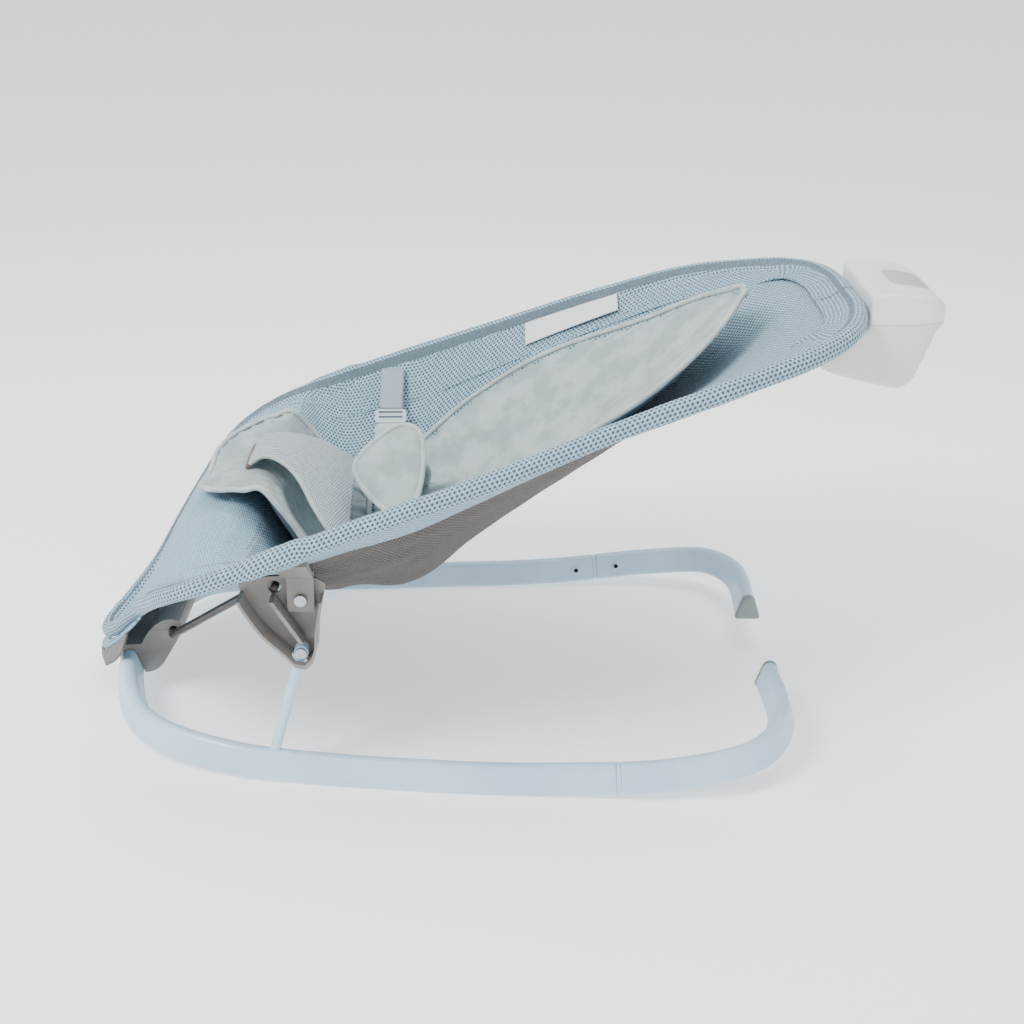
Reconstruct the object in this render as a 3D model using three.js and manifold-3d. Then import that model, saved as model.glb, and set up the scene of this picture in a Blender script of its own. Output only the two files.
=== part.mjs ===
// Baby bouncer seat on a rocker base: a sewn sling on a bent tube frame, carried by two hubs that stand on
// swinging struts and are sprung by two steel wires, with a soothing unit at the head end.
// Millimetres, +Z up, +X towards the head end. The baby faces -X, so its left side is -Y.
// The origin is on the floor, under the middle of the seat's length and width.
import * as THREE from "three";
import { mergeVertices } from "three/addons/utils/BufferGeometryUtils.js";
import Module from "manifold-3d";

// ---- driving dimensions -------------------------------------------------------------------------------
const ORIGIN_SHIFT = -69.95; // from the low point of the rocker to the middle of the whole object
const GAP = 0.35; // between pieces that touch
const EASE = 0.9; // round a bent tube in its clamp

const RAIL = { width: 27, height: 27, corner: 4, wall: 1.8 }; // rounded-triangle tube of the base
const ROCKER = { flat: 45, rise: 21.3, at: 300 }; // the rails lift by rise, this far from the middle
const REAR_TUBE = 277; // length of each rear tube along the rail
const COUPLER = { reach: 40, collar: 4 };
const CAP = { flange: 5, plug: 14 };
const RAIL_SCREWS = 24; // from the collar to each screw
// Plan of one half of the rail, from the middle of the front to the tip of the rear tube.
const RAIL_PLAN = [
  [-307, 0],
  [-293, 87],
  [-260, 152],
  [-184, 186],
  [-80, 200],
  [29, 210],
  [138, 216],
  [238, 221],
  [312, 204],
  [342, 156],
  [344, 68],
];

const STRUT = { foot: [-138, 16], head: [-105, 134], y: 193, radius: 5, eye: 6.6 };
const PIN = 3; // radius of the four strut pins
const WIRE = { radius: 4, foot: [-256, 72], head: [-128, 193] };
const BRACKET = { half: 45, split: 72 };

const HUB = { inner: 181, web: 3.4, outer: 206, wall: 2.6, clamp: 3.2 };
const HUB_SCREW = [-104, 184];

const TUBE = 6.5; // radius of the seat frame's tube
const TUBE_WALL = 1.3;
const FRAME_JOINT = -118; // x where the upper and lower frame tubes meet, inside the hub arms
// One half of the seat frame's centre line, from the middle of the head end to the middle of the nose.
const FRAME_LINE = [
  [398, 0, 413],
  [396, 60, 413],
  [380, 112, 410],
  [345, 150, 402],
  [269, 187, 384],
  [170, 205, 351],
  [54, 222, 307],
  [-49, 229, 270],
  [-118, 232, 243],
  [-186, 226, 214],
  [-224, 200, 190],
  [-257, 134, 149],
  [-287, 64, 103],
  [-312, 37, 73],
  [-327, 18, 58],
  [-331, 0, 55],
];
const CLOTH = 3; // thickness of the sling
const SLING_ROUND = 1.6; // how round the sling's cross-section is: 1 is a V, 2 a parabola
const HUMP_ROUND = 4; // the same, where it arches up over the frame under the knees
// How far the middle of the sling hangs below the frame, along x.
const SLING_SAG = [
  [-335, 0],
  [-300, -3],
  [-262, -18],
  [-222, -24],
  [-190, -16],
  [-168, -2],
  [-150, 30],
  [-132, 86],
  [-112, 124],
  [-60, 149],
  [-15, 165],
  [42, 137],
  [101, 111],
  [159, 89],
  [269, 44],
  [345, 10],
  [392, 3],
];

const HOUSING = { wall: 2.4, seam: 404, half: 67 };
const DOOR = { x: [380, 446], half: 36 };
const BUTTON = { x: 452, length: 36, width: 54, travel: 1.5 };
const WEBBING = { width: 25, thick: 2, x: -48 };
const PAD = 8; // thickness of the insert's padding
// How far the middle of the insert lies above the sling, along x.
const INSERT_LIFT = [
  [-218, 9],
  [-190, 9],
  [-168, 14],
  [-150, 24],
  [-125, 22],
  [-100, 14],
  [-60, 12],
  [120, 12],
  [200, 19],
  [302, 46],
];
// Half of the width of the leg pad and of the back pad, along x.
const LEG_PAD = [
  [-218, 44],
  [-208, 66],
  [-185, 88],
  [-150, 104],
  [-110, 108],
  [-66, 84],
];
const BACK_PAD = [
  [-58, 100],
  [-20, 128],
  [60, 146],
  [150, 134],
  [220, 100],
  [275, 52],
  [302, 8],
];
const BUCKLE = { length: 34, width: 34, thick: 11, inner: [-46, 112, 207], outer: [-48, 158, 231] };

const wasm = await Module();
wasm.setup();

// ---- solids -------------------------------------------------------------------------------------------
function solidOf(geometry) {
  const bare = new THREE.BufferGeometry();
  bare.setAttribute("position", geometry.getAttribute("position"));
  if (geometry.index) bare.setIndex(geometry.index);
  const merged = mergeVertices(bare, 1e-4);
  const vertProperties = merged.attributes.position.array;
  const triVerts = new Uint32Array(merged.index.array);
  return new wasm.Manifold(new wasm.Mesh({ numProp: 3, vertProperties, triVerts }));
}

function geometryOf(solid) {
  const mesh = solid.getMesh();
  const geometry = new THREE.BufferGeometry();
  geometry.setAttribute("position", new THREE.BufferAttribute(mesh.vertProperties, 3));
  geometry.setIndex(new THREE.BufferAttribute(mesh.triVerts, 1));
  geometry.computeVertexNormals();
  return geometry;
}

function join(...geometries) {
  return geometryOf(geometries.map(solidOf).reduce((a, b) => a.add(b)));
}

function cut(geometry, ...tools) {
  return geometryOf(tools.map(solidOf).reduce((a, b) => a.subtract(b), solidOf(geometry)));
}

function common(a, b) {
  return geometryOf(solidOf(a).intersect(solidOf(b)));
}

function block(low, high) {
  const size = high.map((value, i) => value - low[i]);
  const box = new THREE.BoxGeometry(...size);
  return box.translate(...low.map((value, i) => value + size[i] / 2));
}

// A cylinder from one point to another.
function rod(from, to, radius, sides = 16) {
  const a = new THREE.Vector3(...from);
  const along = new THREE.Vector3(...to).sub(a);
  const length = along.length();
  const cylinder = new THREE.CylinderGeometry(radius, radius, length, sides);
  cylinder.translate(0, length / 2, 0);
  const turn = new THREE.Quaternion().setFromUnitVectors(new THREE.Vector3(0, 1, 0), along.normalize());
  return cylinder.applyQuaternion(turn).translate(a.x, a.y, a.z);
}

// A side view outline in X and Z, given thickness from y0 to y1.
function plate(shape, y0, y1, curveSegments = 6) {
  const geometry = new THREE.ExtrudeGeometry(shape, { depth: y1 - y0, bevelEnabled: false, curveSegments });
  return geometry.rotateX(Math.PI / 2).translate(0, y1, 0);
}

function outline(points) {
  return new THREE.Shape(points.map(([x, z]) => new THREE.Vector2(x, z)));
}

// An outline through the points as one closed smooth curve.
function smoothOutline(points, count) {
  const curve = new THREE.CatmullRomCurve3(points.map(([x, z]) => new THREE.Vector3(x, z, 0)), true);
  return new THREE.Shape(curve.getSpacedPoints(count).slice(0, -1).map((p) => new THREE.Vector2(p.x, p.y)));
}

function circle(radius) {
  return new THREE.Shape().absarc(0, 0, radius, 0, 2 * Math.PI);
}

// A smooth function of x through [x, value] pairs.
function profile(pairs) {
  const xs = pairs.map((pair) => pair[0]);
  const values = pairs.map((pair) => pair[1]);
  const cubic = new THREE.CubicInterpolant(xs, values, 1);
  return (x) => cubic.evaluate(THREE.MathUtils.clamp(x, xs[0], xs.at(-1)))[0];
}

// ---- paths --------------------------------------------------------------------------------------------
// A stretch of a line, from one distance along it to another, whose sections stay upright.
class Stretch extends THREE.Curve {
  constructor(line, from = 0, to = line.getLength()) {
    super();
    Object.assign(this, { line, from, to });
  }
  getPoint(t, target) {
    const length = this.line.getLength();
    const distance = THREE.MathUtils.lerp(this.from, this.to, t);
    const u = distance / length;
    return this.line.getPointAt(this.line.closed ? THREE.MathUtils.euclideanModulo(u, 1) : u, target);
  }
  computeFrenetFrames(segments) {
    const frames = { tangents: [], normals: [], binormals: [] };
    for (let i = 0; i <= segments; i++) {
      const tangent = this.getTangentAt(i / segments);
      const side = new THREE.Vector3(0, 0, 1).cross(tangent).normalize();
      frames.tangents.push(tangent);
      frames.normals.push(side);
      frames.binormals.push(tangent.clone().cross(side));
    }
    return frames;
  }
}

function sweep(shape, path, steps, curveSegments = 2) {
  return new THREE.ExtrudeGeometry(shape, { steps, curveSegments, extrudePath: path });
}

// A round bar that follows the points.
function bentRod(points, radius, steps, sides = 10) {
  const line = new THREE.CatmullRomCurve3(points.map((p) => new THREE.Vector3(...p)), false, "centripetal");
  return sweep(circle(radius), new Stretch(line), steps, sides);
}

class RailLine extends THREE.Curve {
  constructor() {
    super();
    const left = RAIL_PLAN.slice(1).reverse().map(([x, y]) => new THREE.Vector3(x, -y, 0));
    const right = RAIL_PLAN.map(([x, y]) => new THREE.Vector3(x, y, 0));
    this.plan = new THREE.CatmullRomCurve3([...left, ...right], false, "centripetal");
    this.arcLengthDivisions = 400;
  }
  getPoint(t, target) {
    const point = this.plan.getPoint(t, target);
    const past = Math.max(0, Math.abs(point.x) - ROCKER.flat);
    point.z = ROCKER.rise * (past / (ROCKER.at - ROCKER.flat)) ** 2;
    return point;
  }
}
const rail = new RailLine();
const RAIL_LENGTH = rail.getLength();
const RIGHT_JOINT = RAIL_LENGTH - REAR_TUBE; // distance along the rail to the right-hand collar

// The rail's section, or one that lies inset millimetres inside it.
function railSection(inset = 0) {
  const half = RAIL.width / 2 - inset;
  const top = RAIL.height - inset;
  const corner = RAIL.corner;
  const shape = new THREE.Shape();
  shape.moveTo(-half + corner, inset);
  shape.lineTo(half - corner, inset);
  shape.quadraticCurveTo(half, inset, half - 0.7, inset + corner);
  shape.lineTo(half * 0.5, top - 4.5);
  shape.quadraticCurveTo(half * 0.32, top, 0, top);
  shape.quadraticCurveTo(-half * 0.32, top, -half * 0.5, top - 4.5);
  shape.lineTo(-half + 0.7, inset + corner);
  shape.quadraticCurveTo(-half, inset, -half + corner, inset);
  return shape;
}

function railPiece(from, to, steps, inset = 0) {
  return sweep(railSection(inset), new Stretch(rail, from, to), steps);
}

// ---- the object ---------------------------------------------------------------------------------------
const object = new THREE.Group();
const assembly = new THREE.Group(); // drawn from the low point of the rocker
const rightSide = new THREE.Group();
const leftSide = new THREE.Group(); // the same pieces, mirrored
leftSide.scale.y = -1;
assembly.position.x = ORIGIN_SHIFT;
assembly.add(rightSide, leftSide);
object.add(assembly);

function look(color, roughness, metalness = 0) {
  return () => new THREE.MeshStandardMaterial({ color, roughness, metalness });
}
const LOOKS = {
  white: look(0xdfe6ea, 0.45),
  cap: look(0x7f8d8c, 0.6),
  grey: look(0xb4b8ba, 0.55),
  steel: look(0x8d9297, 0.35, 1),
  wire: look(0x3b322c, 0.5, 0.6),
  mesh: look(0xb7c9d3, 0.9),
  velour: look(0xa6b3b5, 0.95),
  flap: look(0x5f5b5d, 0.95),
  webbing: look(0xa3b0b9, 0.9),
  housing: look(0xe9e8e5, 0.4),
  board: look(0x2f6b4a, 0.6),
  label: look(0xf2f2f0, 0.7),
};

function add(name, geometry, finish, parent = assembly) {
  const mesh = new THREE.Mesh(geometry, LOOKS[finish]());
  mesh.name = name;
  parent.add(mesh);
}

function addPair(name, geometry, finish) {
  add(name + "_right", geometry, finish, rightSide);
  add(name + "_left", geometry, finish, leftSide);
}

// ---- rocker base --------------------------------------------------------------------------------------
// The place and the outward normal of a screw on the inner flank of the right-hand rail.
function railScrewSeat(distance) {
  const path = new Stretch(rail);
  const u = distance / RAIL_LENGTH;
  const tangent = path.getTangentAt(u);
  const side = tangent.clone().cross(new THREE.Vector3(0, 0, 1)).normalize();
  const lean = THREE.MathUtils.degToRad(17);
  const normal = side.clone().multiplyScalar(Math.cos(lean)).add(new THREE.Vector3(0, 0, Math.sin(lean)));
  const point = rail.getPointAt(u).addScaledVector(side, 9.7).add(new THREE.Vector3(0, 0, 14));
  return { point, normal };
}

function alongNormal({ point, normal }, distance) {
  return point.clone().addScaledVector(normal, distance).toArray();
}

function screwHole(seat) {
  return rod(alongNormal(seat, -14), alongNormal(seat, 8), 2.3, 10);
}

function screwAt(seat) {
  const head = rod(alongNormal(seat, 0.8), alongNormal(seat, 3), 4.6, 14);
  const shank = rod(alongNormal(seat, -12), alongNormal(seat, 1), 1.9, 10);
  return join(head, shank);
}

function strutSlot() {
  const [x, z] = STRUT.foot;
  const slot = block([x - 10, STRUT.y - 5.6, z - 9], [x + 16, STRUT.y + 5.6, z + 20]);
  return join(slot, rod([x, STRUT.y - 16, z], [x, STRUT.y + 16, z], PIN + GAP, 12));
}

function addBase() {
  const seats = [-RAIL_SCREWS, RAIL_SCREWS].map((offset) => railScrewSeat(RIGHT_JOINT + offset));
  const collar = COUPLER.collar / 2;
  const cuts = join(...seats.map(screwHole), strutSlot());
  const mirrored = flip(cuts.clone().scale(1, -1, 1));
  const reach = REAR_TUBE + collar + GAP;
  const frontBore = railPiece(reach - 1, RAIL_LENGTH - reach + 1, 34, RAIL.wall);
  add("base_front_tube", cut(railPiece(reach, RAIL_LENGTH - reach, 34), frontBore, cuts, mirrored), "white");

  const start = RIGHT_JOINT + collar + GAP;
  const tip = RAIL_LENGTH - CAP.flange - GAP;
  const rearBore = railPiece(start - 1, tip + 1, 12, RAIL.wall);
  addPair("base_rear_tube", cut(railPiece(start, tip, 12), rearBore, cuts), "white");

  const inside = RAIL.wall + EASE;
  const sleeve = railPiece(RIGHT_JOINT - COUPLER.reach, RIGHT_JOINT + COUPLER.reach, 2, inside);
  const ring = railPiece(RIGHT_JOINT - collar, RIGHT_JOINT + collar, 1, 0.5);
  addPair("rail_coupler", cut(join(sleeve, ring), ...seats.map(screwHole)), "white");
  addPair("rail_screw_front", screwAt(seats[0]), "steel");
  addPair("rail_screw_rear", screwAt(seats[1]), "steel");

  const flange = railPiece(tip + GAP, RAIL_LENGTH, 1);
  const plug = railPiece(tip - CAP.plug, tip + 1, 2, inside);
  addPair("rail_end_cap", join(flange, plug), "cap");

  const [x, z] = STRUT.foot;
  addPair("strut_foot_pin", rod([x, STRUT.y - 9, z], [x, STRUT.y + 9, z], PIN, 12), "steel");
}

// Turns every face of a mirrored geometry round, so that they point outwards again.
function flip(geometry) {
  const index = geometry.index.array;
  for (let i = 0; i < index.length; i += 3) {
    [index[i], index[i + 1]] = [index[i + 1], index[i]];
  }
  return geometry;
}

// ---- front bracket ------------------------------------------------------------------------------------
function bracketOutline() {
  const shape = new THREE.Shape();
  shape.moveTo(-290, 56);
  shape.quadraticCurveTo(-282, 74, -268, 82);
  shape.quadraticCurveTo(-257, 87, -250, 82);
  shape.quadraticCurveTo(-245, 77, -249, 68);
  shape.quadraticCurveTo(-262, 46, -270, 33);
  shape.quadraticCurveTo(-278, 22, -292, 23);
  shape.lineTo(-313, 30);
  shape.lineTo(-313, 54);
  shape.lineTo(-290, 56);
  return shape;
}

function addFrontBracket() {
  const { half, split } = BRACKET;
  const [x, z] = WIRE.foot;
  const screwX = -274;
  const whole = plate(bracketOutline(), -half, half, 4);
  const tube = railPiece(RAIL_LENGTH / 2 - 90, RAIL_LENGTH / 2 + 90, 10, -EASE);
  const bore = rod([x, -half - 1, z], [x, half + 1, z], WIRE.radius + 1, 12);
  const holes = [-24, 24].map((y) => rod([screwX, y, 0], [screwX, y, split + 4], 2.2, 8));
  const counterbores = [-24, 24].map((y) => rod([screwX, y, 0], [screwX, y, 40], 4.8, 10));
  const hollow = cut(whole, tube, bore, ...holes, ...counterbores);
  const above = block([-340, -60, split + 0.2], [-220, 60, 120]);
  const below = block([-340, -60, 0], [-220, 60, split - 0.2]);
  add("front_bracket_body", common(hollow, below), "grey");
  add("front_bracket_cover", common(hollow, above), "grey");
  const head = rod([screwX, 24, 37], [screwX, 24, 39.6], 4.3, 10);
  const shank = rod([screwX, 24, 39], [screwX, 24, split + 3.5], 1.8, 8);
  addPair("bracket_screw", join(head, shank), "steel");
}

// ---- struts and springs -------------------------------------------------------------------------------
function addStruts() {
  const [footX, footZ] = STRUT.foot;
  const [headX, headZ] = STRUT.head;
  const { y, radius, eye } = STRUT;
  const bar = rod([footX, y, footZ], [headX, y, headZ], radius, 16);
  const footEye = rod([footX, y - radius, footZ], [footX, y + radius, footZ], eye, 16);
  const headEye = rod([headX, y - radius, headZ], [headX, y + radius, headZ], eye, 16);
  const footBore = rod([footX, y - 9, footZ], [footX, y + 9, footZ], PIN + GAP, 12);
  const headBore = rod([headX, y - 9, headZ], [headX, y + 9, headZ], PIN + GAP, 12);
  addPair("strut", cut(join(bar, footEye, headEye), footBore, headBore), "white");
}

function addSpringWires() {
  const [footX, footZ] = WIRE.foot;
  const [headX, headZ] = WIRE.head;
  const inboard = HUB.inner - 11;
  const points = [
    [footX, 8, footZ],
    [footX, 30, footZ],
    [footX, 51, footZ],
    [footX + 3, 59, footZ + 3],
    [footX + 12, 68, footZ + 12],
    [headX - 10, inboard - 11, headZ - 9],
    [headX - 3, inboard - 2, headZ - 2],
    [headX, inboard + 6, headZ],
    [headX, HUB.inner + 8, headZ],
  ];
  addPair("spring_wire", bentRod(points, WIRE.radius, 18, 4), "wire");
}

// ---- hubs ---------------------------------------------------------------------------------------------
function hubOutline(inset = 0) {
  const points = [
    [-160, 196],
    [-152, 174],
    [-138, 152],
    [-120, 134],
    [-107, 121],
    [-97, 122],
    [-91, 136],
    [-89, 160],
    [-85, 182],
    [-84, 199],
  ];
  const middle = [-112, 172];
  const shrink = 1 - inset / 34;
  return smoothOutline(
    points.map(([x, z]) => [middle[0] + (x - middle[0]) * shrink, middle[1] + (z - middle[1]) * shrink]),
    26,
  );
}

// The room that the strut needs as the hub tips on it.
function strutRoom() {
  const [x, z] = STRUT.head;
  const sweepAngles = [-14, 0, 12].map((degrees) => {
    const angle = THREE.MathUtils.degToRad(degrees - 15.6);
    const far = [x + 60 * Math.sin(angle), STRUT.y, z - 60 * Math.cos(angle)];
    return rod([x, STRUT.y, z], far, STRUT.radius + 1.6, 12);
  });
  const eyeRoom = rod([x, STRUT.y - 6.2, z], [x, STRUT.y + 20, z], STRUT.eye + 1.4, 16);
  return join(eyeRoom, ...sweepAngles);
}

function hubShell() {
  const { inner, web, outer, wall } = HUB;
  const [screwX, screwZ] = HUB_SCREW;
  const [pinX, pinZ] = STRUT.head;
  const [wireX, wireZ] = WIRE.head;
  const solid = plate(hubOutline(), inner, outer);
  const hollow = plate(hubOutline(wall), inner + web, outer + 1);
  const openTop = block([-170, inner + web, 188], [-70, outer + 1, 215]);
  const dish = cut(solid, hollow, openTop);
  const rib = outline([
    [-131, 186],
    [-127, 186],
    [-102, 145],
    [-106, 145],
  ]);
  const ridge = plate(rib, inner + 1, outer - 4);
  const boss = rod([screwX, inner + 1, screwZ], [screwX, inner + web + 3, screwZ], 11, 20);
  const wireHole = rod([wireX, inner - 2, wireZ], [wireX, outer, wireZ], WIRE.radius + 2.2, 14);
  const pinHole = rod([pinX, inner - 2, pinZ], [pinX, outer + 2, pinZ], PIN + GAP, 12);
  const screwHoleTool = rod([screwX, inner - 2, screwZ], [screwX, outer, screwZ], 2.6, 10);
  return cut(join(dish, ridge, boss), wireHole, pinHole, screwHoleTool, strutRoom());
}

// The arm that clamps the two frame tubes end to end and hangs the hub from them.
function hubArm() {
  const at = frameAt(FRAME_JOINT);
  const before = frameAt(FRAME_JOINT - 17);
  const after = frameAt(FRAME_JOINT + 17);
  const clamp = rod(before.toArray(), after.toArray(), TUBE + HUB.clamp, 18);
  const y0 = HUB.inner + HUB.web + 3 + GAP;
  const y1 = y0 + 4;
  const tab = block([-116, y0, 172], [-92, y1, 212]);
  const top = outline([
    [y0, 206],
    [y1 + 0.5, 205],
    [at.y - 2, at.z - 8],
    [at.y - 6, at.z - 3],
  ]);
  const slope = new THREE.ExtrudeGeometry(top, { depth: 28, bevelEnabled: false });
  slope.rotateX(Math.PI / 2).rotateZ(Math.PI / 2).translate(-120, 0, 0);
  const hole = rod([HUB_SCREW[0], y0 - 2, HUB_SCREW[1]], [HUB_SCREW[0], y1 + 2, HUB_SCREW[1]], 2.6, 10);
  const joint = frameDistance(FRAME_JOINT);
  return cut(join(clamp, tab, slope), frameTube(joint - 30, joint + 30, 6, TUBE + EASE), hole);
}

function addHubs() {
  const [screwX, screwZ] = HUB_SCREW;
  const [pinX, pinZ] = STRUT.head;
  addPair("hub_shell", hubShell(), "grey");
  addPair("hub_arm", hubArm(), "grey");
  const seat = HUB.inner + HUB.web + 7 + 2 * GAP;
  const head = rod([screwX, seat, screwZ], [screwX, seat + 3, screwZ], 5.5, 16);
  const shank = rod([screwX, HUB.inner - 1, screwZ], [screwX, seat + 1, screwZ], 2.2, 10);
  addPair("hub_screw", join(head, shank), "steel");
  const pin = rod([pinX, HUB.inner - 1, pinZ], [pinX, STRUT.y + 7.5, pinZ], PIN, 12);
  const pinHead = rod([pinX, STRUT.y + 6, pinZ], [pinX, STRUT.y + 8.5, pinZ], PIN + 2.4, 12);
  addPair("strut_head_pin", join(pin, pinHead), "steel");
}

// ---- seat frame ---------------------------------------------------------------------------------------
// The whole centre line as one loop: head end, right side, nose, left side.
const frameLoop = new THREE.CatmullRomCurve3(
  [
    ...FRAME_LINE.map(([x, y, z]) => new THREE.Vector3(x, y, z)),
    ...FRAME_LINE.slice(1, -1).reverse().map(([x, y, z]) => new THREE.Vector3(x, -y, z)),
  ],
  true,
  "centripetal",
);
frameLoop.arcLengthDivisions = 400;
const LOOP_LENGTH = frameLoop.getLength();

// The distance round the loop at which a decreasing measure of the right-hand side reaches a value.
function distanceWhere(measure, value) {
  let low = 0;
  let high = LOOP_LENGTH / 2;
  for (let i = 0; i < 30; i++) {
    const middle = (low + high) / 2;
    if (measure(middle) > value) low = middle;
    else high = middle;
  }
  return low;
}

function framePoint(distance) {
  return frameLoop.getPointAt(distance / LOOP_LENGTH);
}

function frameDistance(x) {
  return distanceWhere((distance) => framePoint(distance).x, x);
}

function frameAt(x) {
  return framePoint(frameDistance(x));
}

function frameTube(from, to, steps, radius = TUBE) {
  return sweep(circle(radius), new Stretch(frameLoop, from, to), steps, 4);
}

function addFrame() {
  const joint = frameDistance(FRAME_JOINT);
  const hollow = (from, to, steps) => {
    return cut(frameTube(from, to, steps), frameTube(from - 1, to + 1, steps, TUBE - TUBE_WALL));
  };
  add("seat_frame_upper", hollow(GAP - joint, joint - GAP, 34), "wire");
  add("seat_frame_lower", hollow(joint + GAP, LOOP_LENGTH - joint - GAP, 26), "wire");
}

// ---- sling --------------------------------------------------------------------------------------------
// The sling's edge on the right-hand side, just inboard of the frame tube.
function edgePoint(distance, inset = TUBE + 2) {
  const point = framePoint(distance);
  const ahead = framePoint(distance + 1).sub(framePoint(distance - 1)).setZ(0).normalize();
  return point.add(new THREE.Vector3(-ahead.y, ahead.x, 0).multiplyScalar(inset));
}

const sagAt = profile(SLING_SAG);

function dropAt(x, across) {
  const sag = sagAt(x);
  return sag * (1 - Math.abs(across) ** (sag < 0 ? HUMP_ROUND : SLING_ROUND));
}

function slingPoint(distance, across) {
  const edge = edgePoint(distance);
  const drop = dropAt(edge.x, across);
  return new THREE.Vector3(edge.x, edge.y * across, edge.z - drop);
}

// A closed solid of even thickness about a surface given by u and v, both from 0 to 1.
function sheetSolid(surface, nu, nv, thickness) {
  const box = new THREE.BoxGeometry(1, 1, 1, nu, nv, 1);
  const places = box.getAttribute("position");
  const e = 1e-3;
  for (let i = 0; i < places.count; i++) {
    const u = places.getX(i) + 0.5;
    const v = places.getY(i) + 0.5;
    const du = surface(Math.min(1, u + e), v).sub(surface(Math.max(0, u - e), v));
    const dv = surface(u, Math.min(1, v + e)).sub(surface(u, Math.max(0, v - e)));
    const normal = du.cross(dv).normalize();
    const point = surface(u, v).addScaledVector(normal, places.getZ(i) * thickness);
    places.setXYZ(i, point.x, point.y, point.z);
  }
  return box;
}

function addSling() {
  const from = distanceWhere((distance) => -framePoint(distance).y, -72);
  const to = distanceWhere((distance) => framePoint(distance).x, -322);
  const surface = (u, v) => slingPoint(THREE.MathUtils.lerp(to, from, u), 2 * v - 1);
  const clampRoom = rod(
    frameAt(FRAME_JOINT - 19).toArray(),
    frameAt(FRAME_JOINT + 19).toArray(),
    TUBE + HUB.clamp + 1,
    12,
  );
  const mirrored = flip(geometryOf(solidOf(clampRoom)).scale(1, -1, 1));
  add("seat_sling", cut(sheetSolid(surface, 30, 8, CLOTH), clampRoom, mirrored), "mesh");
}

// ---- nose ---------------------------------------------------------------------------------------------
// A wall that hangs under the frame tube round the nose, between two heights that follow the tube.
function noseWall(reach, top, bottom, steps) {
  const surface = (u, v) => {
    const distance = LOOP_LENGTH / 2 + reach * (1 - 2 * u);
    const { z } = framePoint(distance);
    const flare = THREE.MathUtils.lerp(bottom.flare(z), top.flare(z), v);
    return edgePoint(distance, -flare).setZ(THREE.MathUtils.lerp(bottom.height(z), top.height(z), v));
  };
  return sheetSolid(surface, steps, 1, 2.4);
}

function addNose() {
  const under = { flare: () => 1, height: (z) => z - TUBE - 4.4 };
  const hem = { flare: () => 10, height: (z) => z - 19 };
  add("nose_cover", noseWall(130, under, hem, 20), "mesh");
  const joint = { flare: () => 10, height: (z) => z - 20.4 };
  // The flap's sides stand out, so that they clear the rail when the nose dips.
  const lowHem = {
    flare: (z) => 11 + 6 * THREE.MathUtils.smoothstep(z, 57, 70),
    height: (z) => Math.max(30, z - 39),
  };
  add("hook_loop_flap", noseWall(92, joint, lowHem, 14), "flap");
}

// ---- head housing -------------------------------------------------------------------------------------
function housingProfile(inset = 0) {
  const [cx, cz] = [418, 388];
  const place = (x, z) => [cx + (x - cx) * (1 - inset / 62), cz + (z - cz) * (1 - inset / 40)];
  const shape = new THREE.Shape();
  shape.moveTo(...place(353, 374));
  shape.quadraticCurveTo(...place(362, 361), ...place(380, 355));
  shape.lineTo(...place(432, 343.5));
  shape.quadraticCurveTo(...place(449, 340), ...place(456, 357));
  shape.lineTo(...place(472, 396));
  shape.quadraticCurveTo(...place(483, 400), ...place(483, 409));
  shape.quadraticCurveTo(...place(481, 424), ...place(462, 429));
  shape.quadraticCurveTo(...place(436, 434), ...place(408, 431));
  shape.lineTo(...place(407.5, 399));
  shape.quadraticCurveTo(...place(380, 396), ...place(356, 384));
  shape.lineTo(...place(353, 374));
  return shape;
}

function housingPlan(inset = 0) {
  const half = HOUSING.half - inset;
  const [front, rear] = [345 + inset, 486 - inset];
  const [shoulder, round] = [half - 18, half * 0.35];
  const shape = new THREE.Shape();
  shape.moveTo(front, -half + 10);
  shape.quadraticCurveTo(380, -half, 425, -half);
  shape.quadraticCurveTo(468, -half, rear - 6, -shoulder);
  shape.quadraticCurveTo(rear, -round, rear, 0);
  shape.quadraticCurveTo(rear, round, rear - 6, shoulder);
  shape.quadraticCurveTo(468, half, 425, half);
  shape.quadraticCurveTo(380, half, front, half - 10);
  shape.lineTo(front, -half + 10);
  return shape;
}

// A plan outline in X and Y, given height from z0 to z1.
function slab(shape, z0, z1, curveSegments = 5) {
  const geometry = new THREE.ExtrudeGeometry(shape, { depth: z1 - z0, bevelEnabled: false, curveSegments });
  return geometry.translate(0, 0, z0);
}

function housingForm(inset = 0) {
  return common(plate(housingProfile(inset), -110, 110, 5), slab(housingPlan(inset), 330, 440));
}

function roundedPad(centreX, length, width, corner) {
  const [x, y] = [length / 2, width / 2];
  const shape = new THREE.Shape();
  shape.moveTo(centreX - x + corner, -y);
  shape.lineTo(centreX + x - corner, -y);
  shape.quadraticCurveTo(centreX + x, -y, centreX + x, -y + corner);
  shape.lineTo(centreX + x, y - corner);
  shape.quadraticCurveTo(centreX + x, y, centreX + x - corner, y);
  shape.lineTo(centreX - x + corner, y);
  shape.quadraticCurveTo(centreX - x, y, centreX - x, y - corner);
  shape.lineTo(centreX - x, -y + corner);
  shape.quadraticCurveTo(centreX - x, -y, centreX - x + corner, -y);
  return shape;
}

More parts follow.
